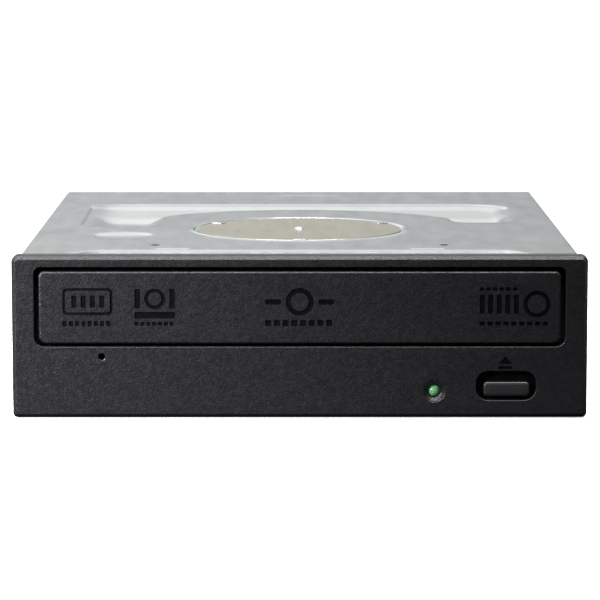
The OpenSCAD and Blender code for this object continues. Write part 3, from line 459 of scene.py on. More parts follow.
def rubbery(name, colour):
    """Matt rubber with a faint bloom."""
    look = Look(name, colour, 0.72)
    look.set({"Specular IOR Level": 0.3, "Sheen Weight": 0.15})
    look.vary_roughness(look.noise(1.2, 3), 0.1)
    look.bump(look.noise(0.15, 2), 0.006)
    return look.material


def board(name, colour, track):
    """Solder mask over copper: long parallel tracks show as slightly lighter, raised lines."""
    look = Look(name, colour, 0.34)
    pattern = {"Scale": 1 / (9 * MM), "Brick Width": 3.4, "Row Height": 0.14, "Mortar Size": 0.022}
    colours = {"Color1": (0, 0, 0, 1), "Color2": (0, 0, 0, 1), "Mortar": (1, 1, 1, 1)}
    brick = look.node("ShaderNodeTexBrick", {"Vector": look.where, **pattern, **colours})
    tracks = brick.outputs["Color"]
    look.vary_colour(tracks, track, (0, 1))
    look.vary_roughness(look.noise(3, 3), 0.06)
    look.bump(tracks, 0.03)
    look.set({"Coat Weight": 0.4, "Coat Roughness": 0.25})
    return look.material


def windings(name, colour):
    """Enamelled wire, wound in layers."""
    look = Look(name, colour, 0.3, metallic=0.9)
    wires = look.stripes(2.2, "Z", 1.0)
    look.vary_shade(wires, 0.35, (0.1, 0.7))
    look.bump(wires, 0.05)
    return look.material


def felt(name, colour):
    """Pressed fibres."""
    look = Look(name, colour, 0.95)
    look.set({"Sheen Weight": 0.5, "Sheen Roughness": 0.6})
    look.vary_shade(look.noise(0.3, 4), 1.7)
    look.bump(look.noise(0.2, 4, (1, 3, 1)), 0.06)
    return look.material


def film(name, colour):
    """Flat flex: tinted film with parallel conductors."""
    look = Look(name, colour, 0.28)
    conductors = look.stripes(3.2, "X")
    look.vary_shade(conductors, 0.6, (0.35, 0.65))
    look.vary_roughness(look.noise(2, 2), 0.06)
    look.bump(conductors, 0.02)
    return look.material


def coated_glass(name, colour):
    """Lens glass with a bluish anti-reflection coat."""
    look = Look(name, colour, 0.04)
    look.set({"Transmission Weight": 0.85, "IOR": 1.52, "Coat Weight": 1.0, "Coat Tint": (0.4, 0.5, 1, 1)})
    look.vary_roughness(look.noise(1, 2), 0.02)
    return look.material


def glow_resin(name, colour):
    """Diffusing resin of the status light, which is faintly lit."""
    look = Look(name, colour, 0.22)
    look.set({"Subsurface Weight": 0.5, "Subsurface Radius": (0.001, 0.002, 0.001), "Coat Weight": 0.6})
    look.set({"Emission Color": (*colour, 1), "Emission Strength": 0.1})
    look.vary_shade(look.noise(1.1, 2), 1.5)
    look.bump(look.noise(0.4, 2), 0.004)
    return look.material


COVER_STEEL = steel("cover steel", (0.555, 0.602, 0.642), 0.21, wave=0.007)
CAP_STEEL = steel("cap steel", (0.4, 0.378, 0.318), 0.28, grain=0.0003, wave=0.003)
PLAIN_STEEL = steel("plain steel", (0.6, 0.62, 0.63), 0.34)
MOTOR_STEEL = steel("motor steel", (0.66, 0.67, 0.68), 0.26)
ALUMINIUM = steel("can aluminium", (0.75, 0.76, 0.77), 0.24)
CAST_METAL = steel("cast metal", (0.33, 0.34, 0.355), 0.5, grain=0.03)
MAGNET = steel("magnet", (0.09, 0.09, 0.095), 0.55, grain=0.02)
SCREW_STEEL = polished("screw steel", (0.45, 0.46, 0.48), 0.28)
SHAFT_STEEL = polished("shaft steel", (0.75, 0.76, 0.78), 0.14)
GOLD = polished("gold plating", (0.85, 0.6, 0.22), 0.2)
BEZEL_PLASTIC = moulded("bezel plastic", (0.0048, 0.0049, 0.006), 0.38, 0.42, 0.1, 0.35)
# painted shade: a darker, less glossy copy of the bezel plastic, for the pockets of the marks and for the
# button's flange where it sits in its slot
PAINTED_SHADE_PLASTIC = moulded("painted shade plastic", (0.0015, 0.0015, 0.002), 0.36, 0.9, 0.004, 0.1)
BUTTON_PLASTIC = moulded("button plastic", (0.0095, 0.0095, 0.0115), 0.34, 0.35)
FRAME_PLASTIC = moulded("frame plastic", (0.03, 0.032, 0.036), 0.55, 0.8)
TRAY_PLASTIC = moulded("tray plastic", (0.018, 0.0185, 0.021), 0.5, 0.5)
WHITE_PLASTIC = moulded("white plastic", (0.72, 0.7, 0.62), 0.42, 1.2, 0.008)
IVORY_PLASTIC = moulded("ivory plastic", (0.6, 0.56, 0.44), 0.45, 1.2, 0.008)
RED_PLASTIC = moulded("red plastic", (0.28, 0.02, 0.015), 0.4, 1.0)
CHIP_RESIN = moulded("chip resin", (0.014, 0.014, 0.016), 0.6, 0.25)
RUBBER = rubbery("rubber", (0.012, 0.012, 0.013))
BOARD = board("solder mask", (0.015, 0.11, 0.045), (0.04, 0.2, 0.09))
COPPER = windings("copper windings", (0.72, 0.3, 0.12))
FELT = felt("felt", (0.02, 0.02, 0.022))
WHITE_FILM = film("white film", (0.72, 0.71, 0.66))
AMBER_FILM = film("amber film", (0.5, 0.2, 0.03))
LENS_GLASS = coated_glass("lens glass", (0.5, 0.62, 0.85))
LED_RESIN = glow_resin("light resin", (0.088, 0.225, 0.108))


# ---------- top cover ----------

def horn_loop():
    """Outline of the lobed recess behind the disc clamp: two lobes joined round the clamp's circle."""
    clamp_clearance = 51.5
    arc = [
        (HUB.x + clamp_clearance * math.cos(a), HUB.y + clamp_clearance * math.sin(a), 0)
        for a in (math.radians(degrees) for degrees in range(136, 36, -2))
    ]
    right_front = (62.5, -1.5, 8.5)
    rear = [(62.8, HORN_REAR, 12), (-62.8, HORN_REAR, 9)]
    left_lobe = [(-62.5, -14, 12.8), (-39.8, -14, 9.5), (-39.5, 13.6, 3.5)]
    right_inner = [(43, 11, 2.5), (43.2, -1.5, 7)]
    return rounded([right_front] + rear + left_lobe + arc + right_inner, step=1.0)


def horn_depth(inward):
    """Gives a function for the recess's depth at a point that lies this far in from the rim.

    The sheet drops a little at the rim, then a wider wall leads to a floor that sinks forwards
    and rises again towards its left and right ends.
    """
    rim_drop, rim_width, wall_width = 0.5, 1.1, 6.4
    bowl = 0.35                                      # depth of the floor at its rear, under the rim's drop
    gentle, steep = 0.05, 0.1                        # slope forwards up to turn, and from turn to end
    turn, end = 23, 31
    end_x, left_slope, right_slope = 62.5, 9.5, 5    # where the floor has risen, and how wide the rises are

    def depth(point):
        forwards = max(0, HORN_REAR - point.y)
        floor = bowl + gentle * min(forwards, turn) + steep * min(max(0, forwards - turn), end - turn)
        sideways = ease((point.x + end_x) / left_slope) * ease((end_x - point.x) / right_slope)
        return rim_drop * ease(inward / rim_width) + floor * ease(inward / wall_width) * sideways

    return depth


def add_horn(shell):
    """The lobed recess. Gives the outline that the sheet round it must leave open, as the next four do."""
    rim = resample(horn_loop(), 2.0)
    steps = [0, 0.25, 0.5, 0.8, 1.1, 1.7, 2.4, 3.2, 4.2, 5.2, 6.4]
    shell.loft(rim, [(-inward, horn_depth(inward)) for inward in steps])
    shell.fill(grown(rim, -steps[-1]), [], horn_depth(steps[-1]), spacing=2.0)
    return rim


def add_recess(shell, loop, width, depth):
    """A pressed recess with a flat floor."""
    shell.loft(loop, s_curve(width, depth))
    shell.fill(grown(loop, -width / 2), [], depth, spacing=PANEL_STEP)
    return grown(loop, width / 2)


def add_dimple(shell):
    """The round dimple in front of the left lobe."""
    rim = circle(8.6, (-48.4, -33.7), 56)
    wall = [(0, 0), (-0.4, 0.06), (-0.9, 0.2), (-1.5, 0.33), (-2.5, 0.43), (-4.2, 0.52), (-6, 0.58)]
    shell.loft(rim, wall)
    growth, depth = wall[-1]
    shell.fill(grown(rim, growth), [], depth, spacing=1.5)
    return rim


def add_cap_seat(shell):
    """The raised bead round the cap, and the ledge that the cap lies on."""
    rim = circle(30.7, HUB, 120)
    bead = [(0, 0), (-0.15, -0.04), (-0.35, -0.14), (-0.6, -0.2), (-0.85, -0.15), (-1.05, 0), (-1.25, 0.3)]
    ledge = [(-1.5, 0.42), (-5.6, 0.42), (-5.9, 0.55)]
    shell.loft(rim, bead + ledge)
    return rim


def add_small_hole(shell, side):
    """A small hole on one side, behind the groove."""
    hole = circle(1.25, (side * 38.7, -57), 20)
    shell.loft(hole, [(0, 0), (0.2, 0.4)])
    return hole


def pressed_features(shell):
    """All the recesses and holes of the cover's top."""
    # the long recess behind the bezel, with its rear corners cut at a slant
    step = [(-61.4, -83.6, 2), (61.4, -83.6, 2), (61.4, -80, 2)]
    step += [(55, -69.6, 5), (-55, -69.6, 5), (-61.4, -80, 2)]
    # a plain shallow rectangle near the rear edge
    plate = rectangle((-6, 12), (74.6, 77.4), 1.2)
    rims = [
        add_horn(shell),
        add_dimple(shell),
        add_cap_seat(shell),
        add_recess(shell, resample(rounded(step), 2.0), 2.4, 1.3),
        add_recess(shell, resample(plate, 1.5), 0.9, 0.05),
    ]
    for side in SIDES:
        groove = rectangle(on_side(side, 29.4, 38.2), (-67.3, -64.7), 1.0)
        rims.append(add_recess(shell, resample(groove, 1.0), 1.0, 0.16))
        rims.append(add_small_hole(shell, side))
    return rims


def fold_strip(shell, rows):
    """Bands between rows of points given in X, Y, Z."""
    made = [[shell.mesh.verts.new(Vector(p) * MM) for p in row] for row in rows]
    for a, b in zip(made, made[1:]):
        for i in range(len(a) - 1):
            shell.mesh.faces.new((a[i], a[i + 1], b[i + 1], b[i]))


def add_wall(shell, fold, fold_z, bottom, holes, place):
    """A wall that hangs from a fold. Gives the Shell it is drawn in, for the edges of its holes.

    fold gives the positions along the fold, and bottom the corners of the wall's lower edge,
    from the last position back to the first.
    """
    wall = Shell(place, shell.mesh)
    outline = [Vector((a, fold_z)) for a in fold] + [Vector(corner) for corner in bottom]
    outline = resample(outline, PANEL_STEP)
    outline.reverse()
    wall.fill(outline, holes, 0, spacing=PANEL_STEP)
    return wall


def cover_side(shell, side, ys, fold_z):
    """One side wall, with its tapped bay holes and the slots for the bezel's hooks."""
    taps = [circle(1.6, (y, z), 24) for y in (-37.6, 41.64) for z in (10, 21.84)]
    hook_y = (BEZEL_BACK + 3.5, BEZEL_BACK + 6.5)
    slots = [rectangle(hook_y, z, 0.5) for z in ((8, 14), (27, 33))]
    bottom = [(ys[-1], 0), (ys[0], 0)]

    def place(y, z, depth):
        return side * (COVER[1].x - depth), y, z

    wall = add_wall(shell, ys, fold_z, bottom, taps + slots, place)
    for tap in taps:
        wall.loft(tap, [(0, 0), (-0.2, 0.06), (-0.35, 0.3), (-0.35, 1.9)])
    for slot in slots:
        wall.loft(slot, [(0, 0), (-0.1, 0.1)])


def cover_rear(shell, xs, fold_z):
    """The rear wall, with the connector's window and a row of vents."""
    window_left, window_right, window_top = -54.5, -9.5, 13
    window = [(window_right, 0), (window_right, window_top), (window_left, window_top), (window_left, 0)]
    bottom = [(xs[-1], 0)] + window + [(xs[0], 0)]
    vents = [rectangle((14 + 7 * k, 16.4 + 7 * k), (18, 30), 1.1) for k in range(7)]

    def place(x, z, depth):
        return x, COVER[1].y - depth, z

    wall = add_wall(shell, xs, fold_z, bottom, vents, place)
    for vent in vents:
        wall.loft(vent, [(0, 0), (-0.1, 0.1)])


def top_cover():
    """The folded cover: its pressed top, its side and rear walls, and the bends between them."""
    flat_x = COVER[1].x - BEND
    front, rear = BEZEL_BACK + 0.1, COVER[1].y - BEND
    fold_z = CASE_TOP - BEND
    xs, ys = spaced(-flat_x, flat_x, PANEL_STEP), spaced(front, rear, PANEL_STEP)
    shell = Shell(lambda x, y, depth: (x, y, CASE_TOP - depth))
    rims = pressed_features(shell)
    border = resample(rectangle((-flat_x, flat_x), (front, rear), 0), PANEL_STEP)
    shell.fill(border, rims, 0, spacing=PANEL_STEP)

    bend = [(BEND * math.sin(a), fold_z + BEND * math.cos(a)) for a in quarter_turn(5)]
    for side in SIDES:
        fold_strip(shell, [[(side * (flat_x + out), y, z) for y in ys] for out, z in bend])
        cover_side(shell, side, ys, fold_z)
    fold_strip(shell, [[(x, rear + out, z) for x in xs] for out, z in bend])
    cover_rear(shell, xs, fold_z)

    piece = shell.finish(
        "top_cover_sheet", "case", "top_cover", "cover_steel", [COVER_STEEL], up=Vector((0, 0, 1))
    )
    sheet_thickness(piece, SHEET)
    weigh_normals(piece)


# ---------- cap in the middle of the cover ----------

CAP_FACE = CAP[1].z - 0.3    # the cap's flat top, with its pivot and lugs standing above


def clamper_cap():
    """Champagne-coloured cap with the domed end of its pivot."""
    cap_thickness, edge = 0.5, 0.2
    pivot_radius, pivot_height = 1.5, 0.55
    shell = Shell(lambda x, y, depth: (x, y, CAP_FACE - depth))
    rim = circle(CAP[1].x - HUB.x, HUB, 120)
    shell.loft(rim, edge_round(edge) + [(0, 0.45), (-0.5, cap_thickness)])
    pivot = circle(pivot_radius, HUB, 24)
    dome = [
        (pivot_radius * (math.cos(a) - 1), -pivot_height * math.sin(a))
        for a in (math.radians(degrees) for degrees in range(0, 86, 12))
    ]
    growth, height = dome[-1]
    shell.loft(pivot, dome, 1)
    shell.fill(grown(pivot, growth), [], height, 1)
    shell.fill(grown(rim, -edge), [pivot], 0, spacing=4.0)
    shell.fill(grown(rim, -0.5), [], cap_thickness, spacing=6.0)
    piece = shell.finish("clamper_cap_disc", "case", "clamper_cap", "cap_steel", [CAP_STEEL, SHAFT_STEEL])
    weigh_normals(piece)


def cap_lugs():
    """Three small lugs bent over the cap's edge from its seat."""
    inner, outer = 25.4, 28.9
    corner_spots = [(inner, -1.3, 0.7), (outer, -2.0, 0.3), (outer, 2.0, 0.3), (inner, 1.3, 0.7)]
    top, underside = -0.22, -0.01
    shell = Shell(lambda x, y, depth: (x, y, CAP_FACE - depth))
    for angle in (31, 147, 270):
        a = math.radians(angle)
        along, across = Vector((math.cos(a), math.sin(a))), Vector((-math.sin(a), math.cos(a)))
        spots = [(HUB + along * out + across * side, radius) for out, side, radius in corner_spots]
        loop = rounded([(spot.x, spot.y, radius) for spot, radius in spots], 0.25)
        shell.loft(loop, [(-0.25, top), (-0.08, -0.18), (0, -0.12), (0, -0.02), (-0.2, underside)])
        shell.fill(grown(loop, -0.25), [], top)
        shell.fill(grown(loop, -0.2), [], underside)
    shell.finish("cap_lugs", "case", None, "cover_steel", [COVER_STEEL])


# ---------- front ----------

PAINTED_SHADE_SLOT = 1    # material slot for painted shade: darker plastic in the marks' pockets and on the button's flange in its slot; slot 0 is the piece's own plastic


def front_shell():
    """A Shell whose loops are drawn in X and Z on the bezel's face, with depth to the rear."""
    return Shell(lambda x, z, depth: (x, FRONT_Y + depth, z))


def middle_xz(box):
    """Middle of a CAD node's box, seen from the front."""
    low, high = box
    return (low.x + high.x) / 2, (low.z + high.z) / 2


def outline_xz(box, radii):
    """Outline of a CAD node's box, seen from the front, with rounded corners."""
    low, high = box
    return rectangle((low.x, high.x), (low.z, high.z), radii)


def bar(shell, x, z, depth, radius=0.25):
    """A debossed bar. Gives its outline, as the other marks do theirs."""
    loop = rectangle(x, z, radius)
    shell.pocket(loop, depth, PAINTED_SHADE_SLOT)
    return loop


def dashes(shell, x, z, count, depth):
    """A row of short bars."""
    pitch = (x[1] - x[0]) / count
    filled = 0.68
    return [
        bar(shell, (x[0] + pitch * k, x[0] + pitch * (k + filled)), z, depth, 0.2) for k in range(count)
    ]


def uprights(shell, start, pitch, z, count, depth):
    """A row of tall bars."""
    width = 1.3
    lefts = [start + pitch * k for k in range(count)]
    return [bar(shell, (left, left + width), z, depth) for left in lefts]


def ring(shell, centre, outer, inner, depth):
    """A debossed ring."""
    loop = circle(outer, centre, 40)
    shell.pocket(loop, depth, PAINTED_SHADE_SLOT, [circle(inner, centre, 32)])
    return loop


def add_opening(shell, loop, mouth, walls):
    """An opening through the bezel, its rim rounded. Gives the outline that the face leaves open."""
    shell.loft(loop, mouth_round(mouth) + walls)
    return grown(loop, mouth)


def add_hook(shell, side, start_y, low, high):
    """A hook between the heights low and high: an arm into the case, and a tip that stands in its slot."""
    arm = on_side(side, 70, 71.4)
    tip = on_side(side, 71.2, 72.55)
    shell.block((arm[0], start_y, low), (arm[1], BEZEL_BACK + 7.4, high), 0.2)
    shell.block((tip[0], BEZEL_BACK + 3.8, low), (tip[1], BEZEL_BACK + 6.2, high), 0.3)


def front_bezel():
    """The bezel: a plate with a sloping edge, ribs round its openings, and hooks behind its ends."""
    back = BEZEL_BACK - FRONT_Y
    plate = 2.2
    outer_wall, rib, light_rib, pin_rib = 1.1, 1.2, 0.8, 0.5
    shell = front_shell()
    outer = outline_xz(BEZEL, [1.2, 1.2, 1.7, 1.7])
    soft_chamfer = [(-1.1, 0), (-0.98, 0.05), (-0.88, 0.14), (-0.2, 0.82), (-0.06, 1.0), (0, 1.25)]
    face_inset = soft_chamfer[0][0]
    shell.loft(outer, soft_chamfer + [(0, back), (-outer_wall, back), (-outer_wall, plate)])

    door_opening = rectangle((-68.6, 68.6), (18.6, 39.3), [2.5, 2.5, 1.7, 1.7])
    button_slot = rectangle((45.6, 61.2), (4.6, 12.2), 3.2)
    light_dish = circle(2.7, (34.8, 6.9), 40)
    pinhole = circle(0.85, (-51.2, 16), 20)
    dish = [(-0.15, 0.35), (-0.5, 0.8), (-0.95, 1.1), (-0.95, back)]
    mouths = [
        add_opening(shell, door_opening, 0.2, [(0, back), (rib, back), (rib, plate)]),
        add_opening(shell, button_slot, 0.2, [(0, plate)]),
        add_opening(shell, light_dish, 0.3, dish + [(light_rib, back), (light_rib, plate)]),
        add_opening(shell, pinhole, 0.25, [(0, back), (pin_rib, back), (pin_rib, plate)]),
    ]

    guide = rectangle((44.7, 62.3), (2.7, 12.3), 0.6)
    guide_end, guide_wall = back + 0.4, 1
    shell.loft(guide, [(0, plate), (0, guide_end), (guide_wall, guide_end), (guide_wall, plate)])
    shell.fill(guide, [button_slot], plate)

    eject_triangle = rounded([(51.35, 14.1, 0.15), (55.05, 14.1, 0.15), (53.2, 16.1, 0.15)], 0.2)
    # the eject mark's pockets take the painted-shade slot, darker than the face as painted shade in the
    # recess
    shell.pocket(eject_triangle, 0.3, PAINTED_SHADE_SLOT)
    eject_bar = bar(shell, (51.4, 55), (12.8, 13.5), 0.3, 0.15)
    shell.fill(grown(outer, face_inset), mouths + [eject_triangle, eject_bar], 0, spacing=5.0)

    ribs = [(door_opening, rib), (guide, guide_wall), (light_dish, light_rib), (pinhole, pin_rib)]
    shell.fill(grown(outer, -outer_wall), [grown(loop, growth) for loop, growth in ribs], plate, spacing=8.0)
    for side in SIDES:
        for low, high in ((8.4, 13.6), (27.4, 32.6)):
            add_hook(shell, side, FRONT_Y + plate, low, high)
    piece = shell.finish(
        "front_bezel_moulding", "case", "front_bezel", "bezel_plastic", [BEZEL_PLASTIC, PAINTED_SHADE_PLASTIC]
    )
    weigh_normals(piece)


def door_marks(shell, depth):
    """Plain pictograms where a drive's door usually carries marks: frames, discs and bars, no lettering.

    Gives their outlines, which the door's face leaves open.
    """
    # every pocket here takes the painted-shade slot, darker than the face as painted shade in the recess
    # a framed row of uprights over a row of dashes
    framed = rectangle((-61.2, -48.3), (26.9, 33.9), 1.2)
    inner = rectangle((-60.5, -49.0), (27.6, 33.2), 0.7)
    shell.pocket(framed, depth, PAINTED_SHADE_SLOT, [inner], uprights(shell, -58.9, 2.4, (28.8, 32.0), 4, depth))
    loops = [framed] + dashes(shell, (-61.2, -48.3), (24.0, 25.4), 8, depth)
    # a disc between two uprights over a wide block
    loops.append(ring(shell, (-37.4, 31.1), 2.7, 1.7, depth))
    loops += [bar(shell, x, (28.6, 33.7), depth) for x in ((-42.6, -41.2), (-33.6, -32.2))]
    loops.append(bar(shell, (-42.6, -32.2), (26.0, 27.7), depth, 0.3))
    loops += dashes(shell, (-42.6, -32.0), (24.1, 25.1), 7, depth)
    # a large disc with a bar on each side
    loops.append(ring(shell, (0, 30.3), 3.6, 2.3, depth))
    loops += [bar(shell, x, (29.6, 31.0), depth, 0.5) for x in ((-8.9, -4.8), (4.8, 8.9))]
    loops += dashes(shell, (-8.9, 9.1), (24.0, 25.6), 8, depth)
    # uprights of equal height beside a disc, between two rows of dashes
    loops += uprights(shell, 46.4, 2.2, (27.2, 32.2), 5, depth)
    loops.append(ring(shell, (61.2, 29.7), 3.5, 2.4, depth))
    loops += dashes(shell, (46.4, 56.6), (33.2, 34.1), 6, depth)
    loops += dashes(shell, (46.4, 64.8), (24.1, 25.2), 9, depth)
    return loops


def tray_door():
    """The tray's door: a thin shell with a rim, marks on its face, and two tabs that hold it to the tray."""
    thickness, rim, lip = 2.4, 3.4, 1.2
    edge = 0.6
    outer = outline_xz(DOOR, [2.0, 2.0, 1.4, 1.4])
    shell = front_shell()
    shell.loft(outer, edge_round(edge, 5) + [(0, rim), (-lip, rim), (-lip, thickness)])
    shell.fill(grown(outer, -lip), [], thickness, spacing=8.0)
    shell.fill(grown(outer, -edge), door_marks(shell, 0.25), 0, spacing=5.0)
    for side in SIDES:
        near, far = on_side(side, 36, 44)
        shell.block((near, FRONT_Y + thickness, 26), (far, FRONT_Y + 6.2, 27.4), 0.2)
    piece = shell.finish(
        "tray_door_panel", "tray", "tray_door", "bezel_plastic", [BEZEL_PLASTIC, PAINTED_SHADE_PLASTIC]
    )
    weigh_normals(piece)


def eject_button():
    """The eject button: a pillow-shaped cap on a flange behind the bezel, with a stem to its switch."""
    half_width, half_height = 5.92, 1.85
    flange_front, flange_back = 2.3, 3.5
    centre = middle_xz(BUTTON)
    x, z = centre
    cap = rectangle((x - half_width, x + half_width), (z - half_height, z + half_height), 0.85)
    pillow = [(-0.76, 0.02), (-0.5, 0.07)] + [(growth, sunk + 0.12) for growth, sunk in edge_round(0.4)]
    shell = front_shell()
    shell.loft(cap, pillow + [(0, flange_front)])
    shell.fill(grown(cap, pillow[0][0]), [], pillow[0][1], spacing=1.2)
    flange = outline_xz(BUTTON, 0.5)
    # painted shade: the flange's face and side take the near-black slot, for the shade in the slot round the
    # cap
    shell.fill(flange, [cap], flange_front, PAINTED_SHADE_SLOT)
    shell.loft(flange, [(0, flange_front), (0, flange_back)], PAINTED_SHADE_SLOT)
    stem = circle(1.6, centre, 24)
    shell.fill(flange, [stem], flange_back)
    stem_end, stem_edge = BUTTON[1].y - FRONT_Y, 0.2
    shell.loft(stem, [(0, flange_back), (0, stem_end - stem_edge), (-stem_edge, stem_end)])
    shell.fill(grown(stem, -stem_edge), [], stem_end)
    piece = shell.finish(
        "eject_button_cap", "eject_key", "eject_button", "bezel_plastic", [BUTTON_PLASTIC, PAINTED_SHADE_PLASTIC]
    )
    weigh_normals(piece)


def status_light():
    """The domed light with the collar at its back."""
    collar_width, collar_length = 0.45, 1.0
    dome_depth, back_edge = 0.9, -0.6
    radius = (LED[1].x - LED[0].x) / 2 - collar_width
    loop = circle(radius, middle_xz(LED), 40)
    dome = [(growth, dome_depth + depth) for growth, depth in edge_round(radius, 8)[1:]]
    back = LED[1].y - FRONT_Y
    shoulder = back - collar_length
    shell = front_shell()
    collar = [(0, shoulder), (collar_width, shoulder), (collar_width, back), (back_edge, back)]
    shell.loft(loop, dome + collar)
    shell.fill(grown(loop, dome[0][0]), [], dome[0][1])
    shell.fill(grown(loop, back_edge), [], back)
    shell.finish("status_light", "case", "status_led", "led_resin", [LED_RESIN])


# ---------- carried-over CAD nodes ----------

# Each material's nodes, with the width of their rounded edges. 0 leaves the edges sharp.
DRESSED = [
    (COVER_STEEL, {"bottom_cover": 0.15}),
    (PLAIN_STEEL, {"clamp_bridge": 0.15, "clamp_yoke": 0.15, "traverse_plate": 0.15}),
    (PLAIN_STEEL, {"screw_bracket": 0.1, "pickup_cover": 0.1}),
    (MOTOR_STEEL, {"loading_motor": 0.3, "sled_motor": 0.3, "rotor_can": 0.25}),
    (SCREW_STEEL, {"bridge_screws": 0.1, "case_screws": 0.1, "board_screws": 0.1, "damper_screws": 0.12}),
    (SHAFT_STEEL, {"motor_shaft": 0.15, "spindle_shaft": 0.15, "guide_rods": 0.2, "lead_screw": 0.1}),
    (SHAFT_STEEL, {"gear_pins": 0.1, "led_leads": 0}),
    (CAST_METAL, {"pickup_body": 0.25}),
    (ALUMINIUM, {"board_capacitors": 0.3}),
    (MAGNET, {"rotor_magnet": 0.1}),
    (COPPER, {"spindle_stator": 0.2}),
    (GOLD, {"sata_contacts": 0}),
    (FRAME_PLASTIC, {"main_frame": 0.2, "sub_chassis": 0.2, "rod_holders": 0.15, "turntable": 0.25}),
    (TRAY_PLASTIC, {"disc_tray": 0.3, "centring_hub": 0.2, "lens_holder": 0.15}),
    (WHITE_PLASTIC, {"tray_gear": 0.08, "pulley_gear": 0.08, "motor_pulley": 0.1, "cam_slider": 0.12}),
    (WHITE_PLASTIC, {"lead_nut": 0.15, "clamp_puck": 0.2}),
    (IVORY_PLASTIC, {"board_connectors": 0.1}),
    (RED_PLASTIC, {"switch_plunger": 0.2}),
    (CHIP_RESIN, {"eject_switch": 0.1, "position_switch": 0.1, "board_chips": 0.1, "sata_connector": 0.12}),
    (RUBBER, {"drive_belt": 0.1, "dampers": 0.3, "turntable_pad": 0.1}),
    (BOARD, {"front_board": 0.1, "main_board": 0.1, "spindle_base": 0.1}),
    (WHITE_FILM, {"front_flex": 0}),
    (AMBER_FILM, {"pickup_flex": 0}),
    (FELT, {"dust_felt": 0.3}),
    (LENS_GLASS, {"objective_lenses": 0}),
]


def dress(node, look, bevel):
    """Gives a CAD node its material, and rounds its edges."""
    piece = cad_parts[node]
    piece.data.materials.clear()
    piece.data.materials.append(look)
    for polygon in piece.data.polygons:
        polygon.material_index = 0
    weld = piece.modifiers.new("weld", "WELD")
    weld.merge_threshold = WELD_DISTANCE
    if bevel:
        rounding = piece.modifiers.new("edges", "BEVEL")
        rounding.width = bevel * MM
        rounding.segments = 2
        rounding.limit_method = "ANGLE"
        rounding.angle_limit = SMOOTH_ANGLE
        rounding.harden_normals = True


# ---------- stage, in metres ----------

def add_floor():
    """A pale floor that glows a little for the camera, so that it joins the white background.

    Reflections and bounced light see it darker: nearly black in front of the drive, where the
    photo's bezel reflects a dark room, and mid grey from the drive's middle to the rear.
    """
    half_size, gap_under_drive = 60, 0.0002
    pale = (0.9, 0.9, 0.9)
    look = Look("floor", pale, 0.9)
    to_camera = look.node("ShaderNodeLightPath", {}).outputs["Is Camera Ray"]
    along = look.node("ShaderNodeSeparateXYZ", {0: look.where}).outputs["Y"]
    shade = look.spread(along, (-0.1, 0.08), (0.02, 0.5), "SMOOTHSTEP")
    look.set({
        "Base Color": look.mix(to_camera, shade, (*pale, 1)),
        "Specular IOR Level": 0.0,
        "Emission Color": (1, 1, 1, 1),
        "Emission Strength": look.arithmetic("MULTIPLY", to_camera, 0.45),
    })
    data = bpy.data.meshes.new("floor")
    corners = [(-half_size, -half_size, 0), (half_size, -half_size, 0)]
    corners += [(half_size, half_size, 0), (-half_size, half_size, 0)]
    data.from_pydata(corners, [], [(0, 1, 2, 3)])
    data.materials.append(look.material)
    floor = bpy.data.objects.new("floor", data)
    floor.location.z = -gap_under_drive
    bpy.context.scene.collection.objects.link(floor)


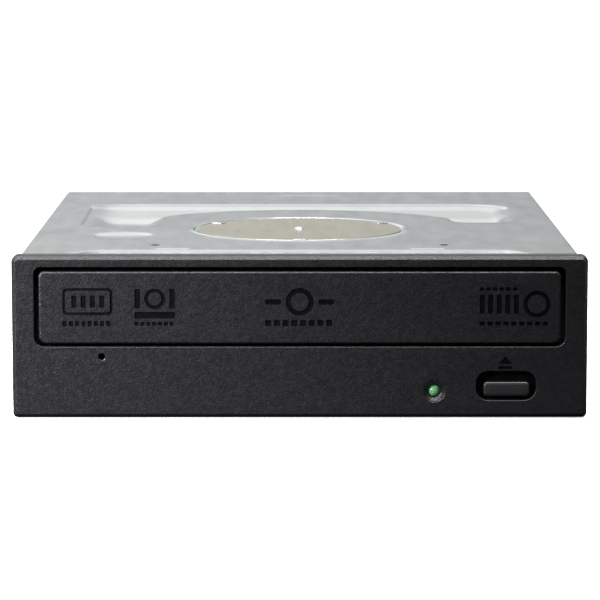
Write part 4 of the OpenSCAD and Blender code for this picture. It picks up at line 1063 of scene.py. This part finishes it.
def add_world():
    """A soft studio: grey low down and bright above, brighter at the left than at the right or in front."""
    # the sine of the height above the horizon, and the brightness there
    stops = [(0, 0.24), (0.12, 0.36), (0.22, 0.95), (0.33, 1.34), (0.46, 1.1)]
    stops += [(0.7, 1.12), (0.88, 1.4), (1, 0.8)]
    low_tint, high_tint, full_tint = Vector((0.965, 0.99, 1.0)), Vector((1.005, 0.985, 0.935)), 0.3
    darkest_side, brightest_side = 0.35, 1.12
    world = bpy.data.worlds.new("studio")
    bpy.context.scene.world = world
    world.use_nodes = True
    graph = Graph(world.node_tree)
    where = graph.node("ShaderNodeTexCoord", {}).outputs["Generated"]
    x, y, z = graph.node("ShaderNodeSeparateXYZ", {0: where}).outputs
    ramp = graph.node("ShaderNodeValToRGB", {"Fac": z})
    elements = ramp.color_ramp.elements
    elements.remove(elements[1])
    for i, (height, brightness) in enumerate(stops):
        stop = elements[0] if i == 0 else elements.new(height)
        stop.position = height
        tint = low_tint.lerp(high_tint, min(1, height / full_tint))
        stop.color = (*(tint * brightness), 1)
    leftwards = graph.arithmetic("SUBTRACT", 1.0, x)
    leftwards = graph.arithmetic("MAXIMUM", leftwards, darkest_side)
    leftwards = graph.arithmetic("MINIMUM", leftwards, brightest_side)
    in_front = graph.spread(y, (-0.95, -0.5), (0.15, 1.0), "SMOOTHSTEP")
    strength = graph.arithmetic("MULTIPLY", leftwards, in_front)
    background = world.node_tree.nodes["Background"]
    graph.put(background, {"Color": ramp.outputs["Color"], "Strength": strength})


def add_light(name, kind, location, target, power, **settings):
    """A light that points at the target and that the camera doesn't see."""
    data = bpy.data.lights.new(name, kind)
    data.energy = power
    for key, value in settings.items():
        setattr(data, key, value)
    light = bpy.data.objects.new(name, data)
    light.location = location
    light.rotation_euler = (Vector(target) - Vector(location)).to_track_quat("-Z", "Y").to_euler()
    light.visible_camera = False
    bpy.context.scene.collection.objects.link(light)


def add_lights():
    """A weak key, a long strip over the front edge, and a spot that fades from the bezel's left end."""
    soft_box = {"shape": "RECTANGLE", "size": 1.0, "size_y": 0.8}
    long_box = {"shape": "RECTANGLE", "size": 1.4, "size_y": 0.35}
    fading_spot = {"spot_size": math.radians(15), "spot_blend": 1.0, "shadow_soft_size": 0.05}
    add_light("key", "AREA", (-0.6, -0.9, 1.1), (0, 0, 0.02), 2.5, **soft_box)
    add_light("strip", "AREA", (0.0, -0.36, 1.0), (0, -0.09, 0.04), 26, **long_box)
    add_light("left", "SPOT", (-0.75, -0.75, 0.42), (-0.11, -0.09, 0.02), 205, **fading_spot)


def add_camera():
    """The photo's camera: a long lens, a little above the drive, looking down at its front."""
    tilt_down, turn_right = math.radians(7.61), math.radians(0.10)
    data = bpy.data.cameras.new("camera")
    data.sensor_width = 36
    data.lens = 182.9
    data.clip_start, data.clip_end = 0.05, 200
    camera = bpy.data.objects.new("camera", data)
    camera.location = (-0.0013, -0.869, 0.1349)
    camera.rotation_euler = (math.pi / 2 - tilt_down, 0, -turn_right)
    bpy.context.scene.collection.objects.link(camera)
    bpy.context.scene.camera = camera


top_cover()
clamper_cap()
cap_lugs()
front_bezel()
tray_door()
eject_button()
status_light()
for look, nodes in DRESSED:
    for node, bevel in nodes.items():
        dress(node, look, bevel)
add_floor()
add_world()
add_lights()
add_camera()
bpy.context.scene.view_settings.view_transform = "Standard"
bpy.context.scene.view_settings.look = "None"
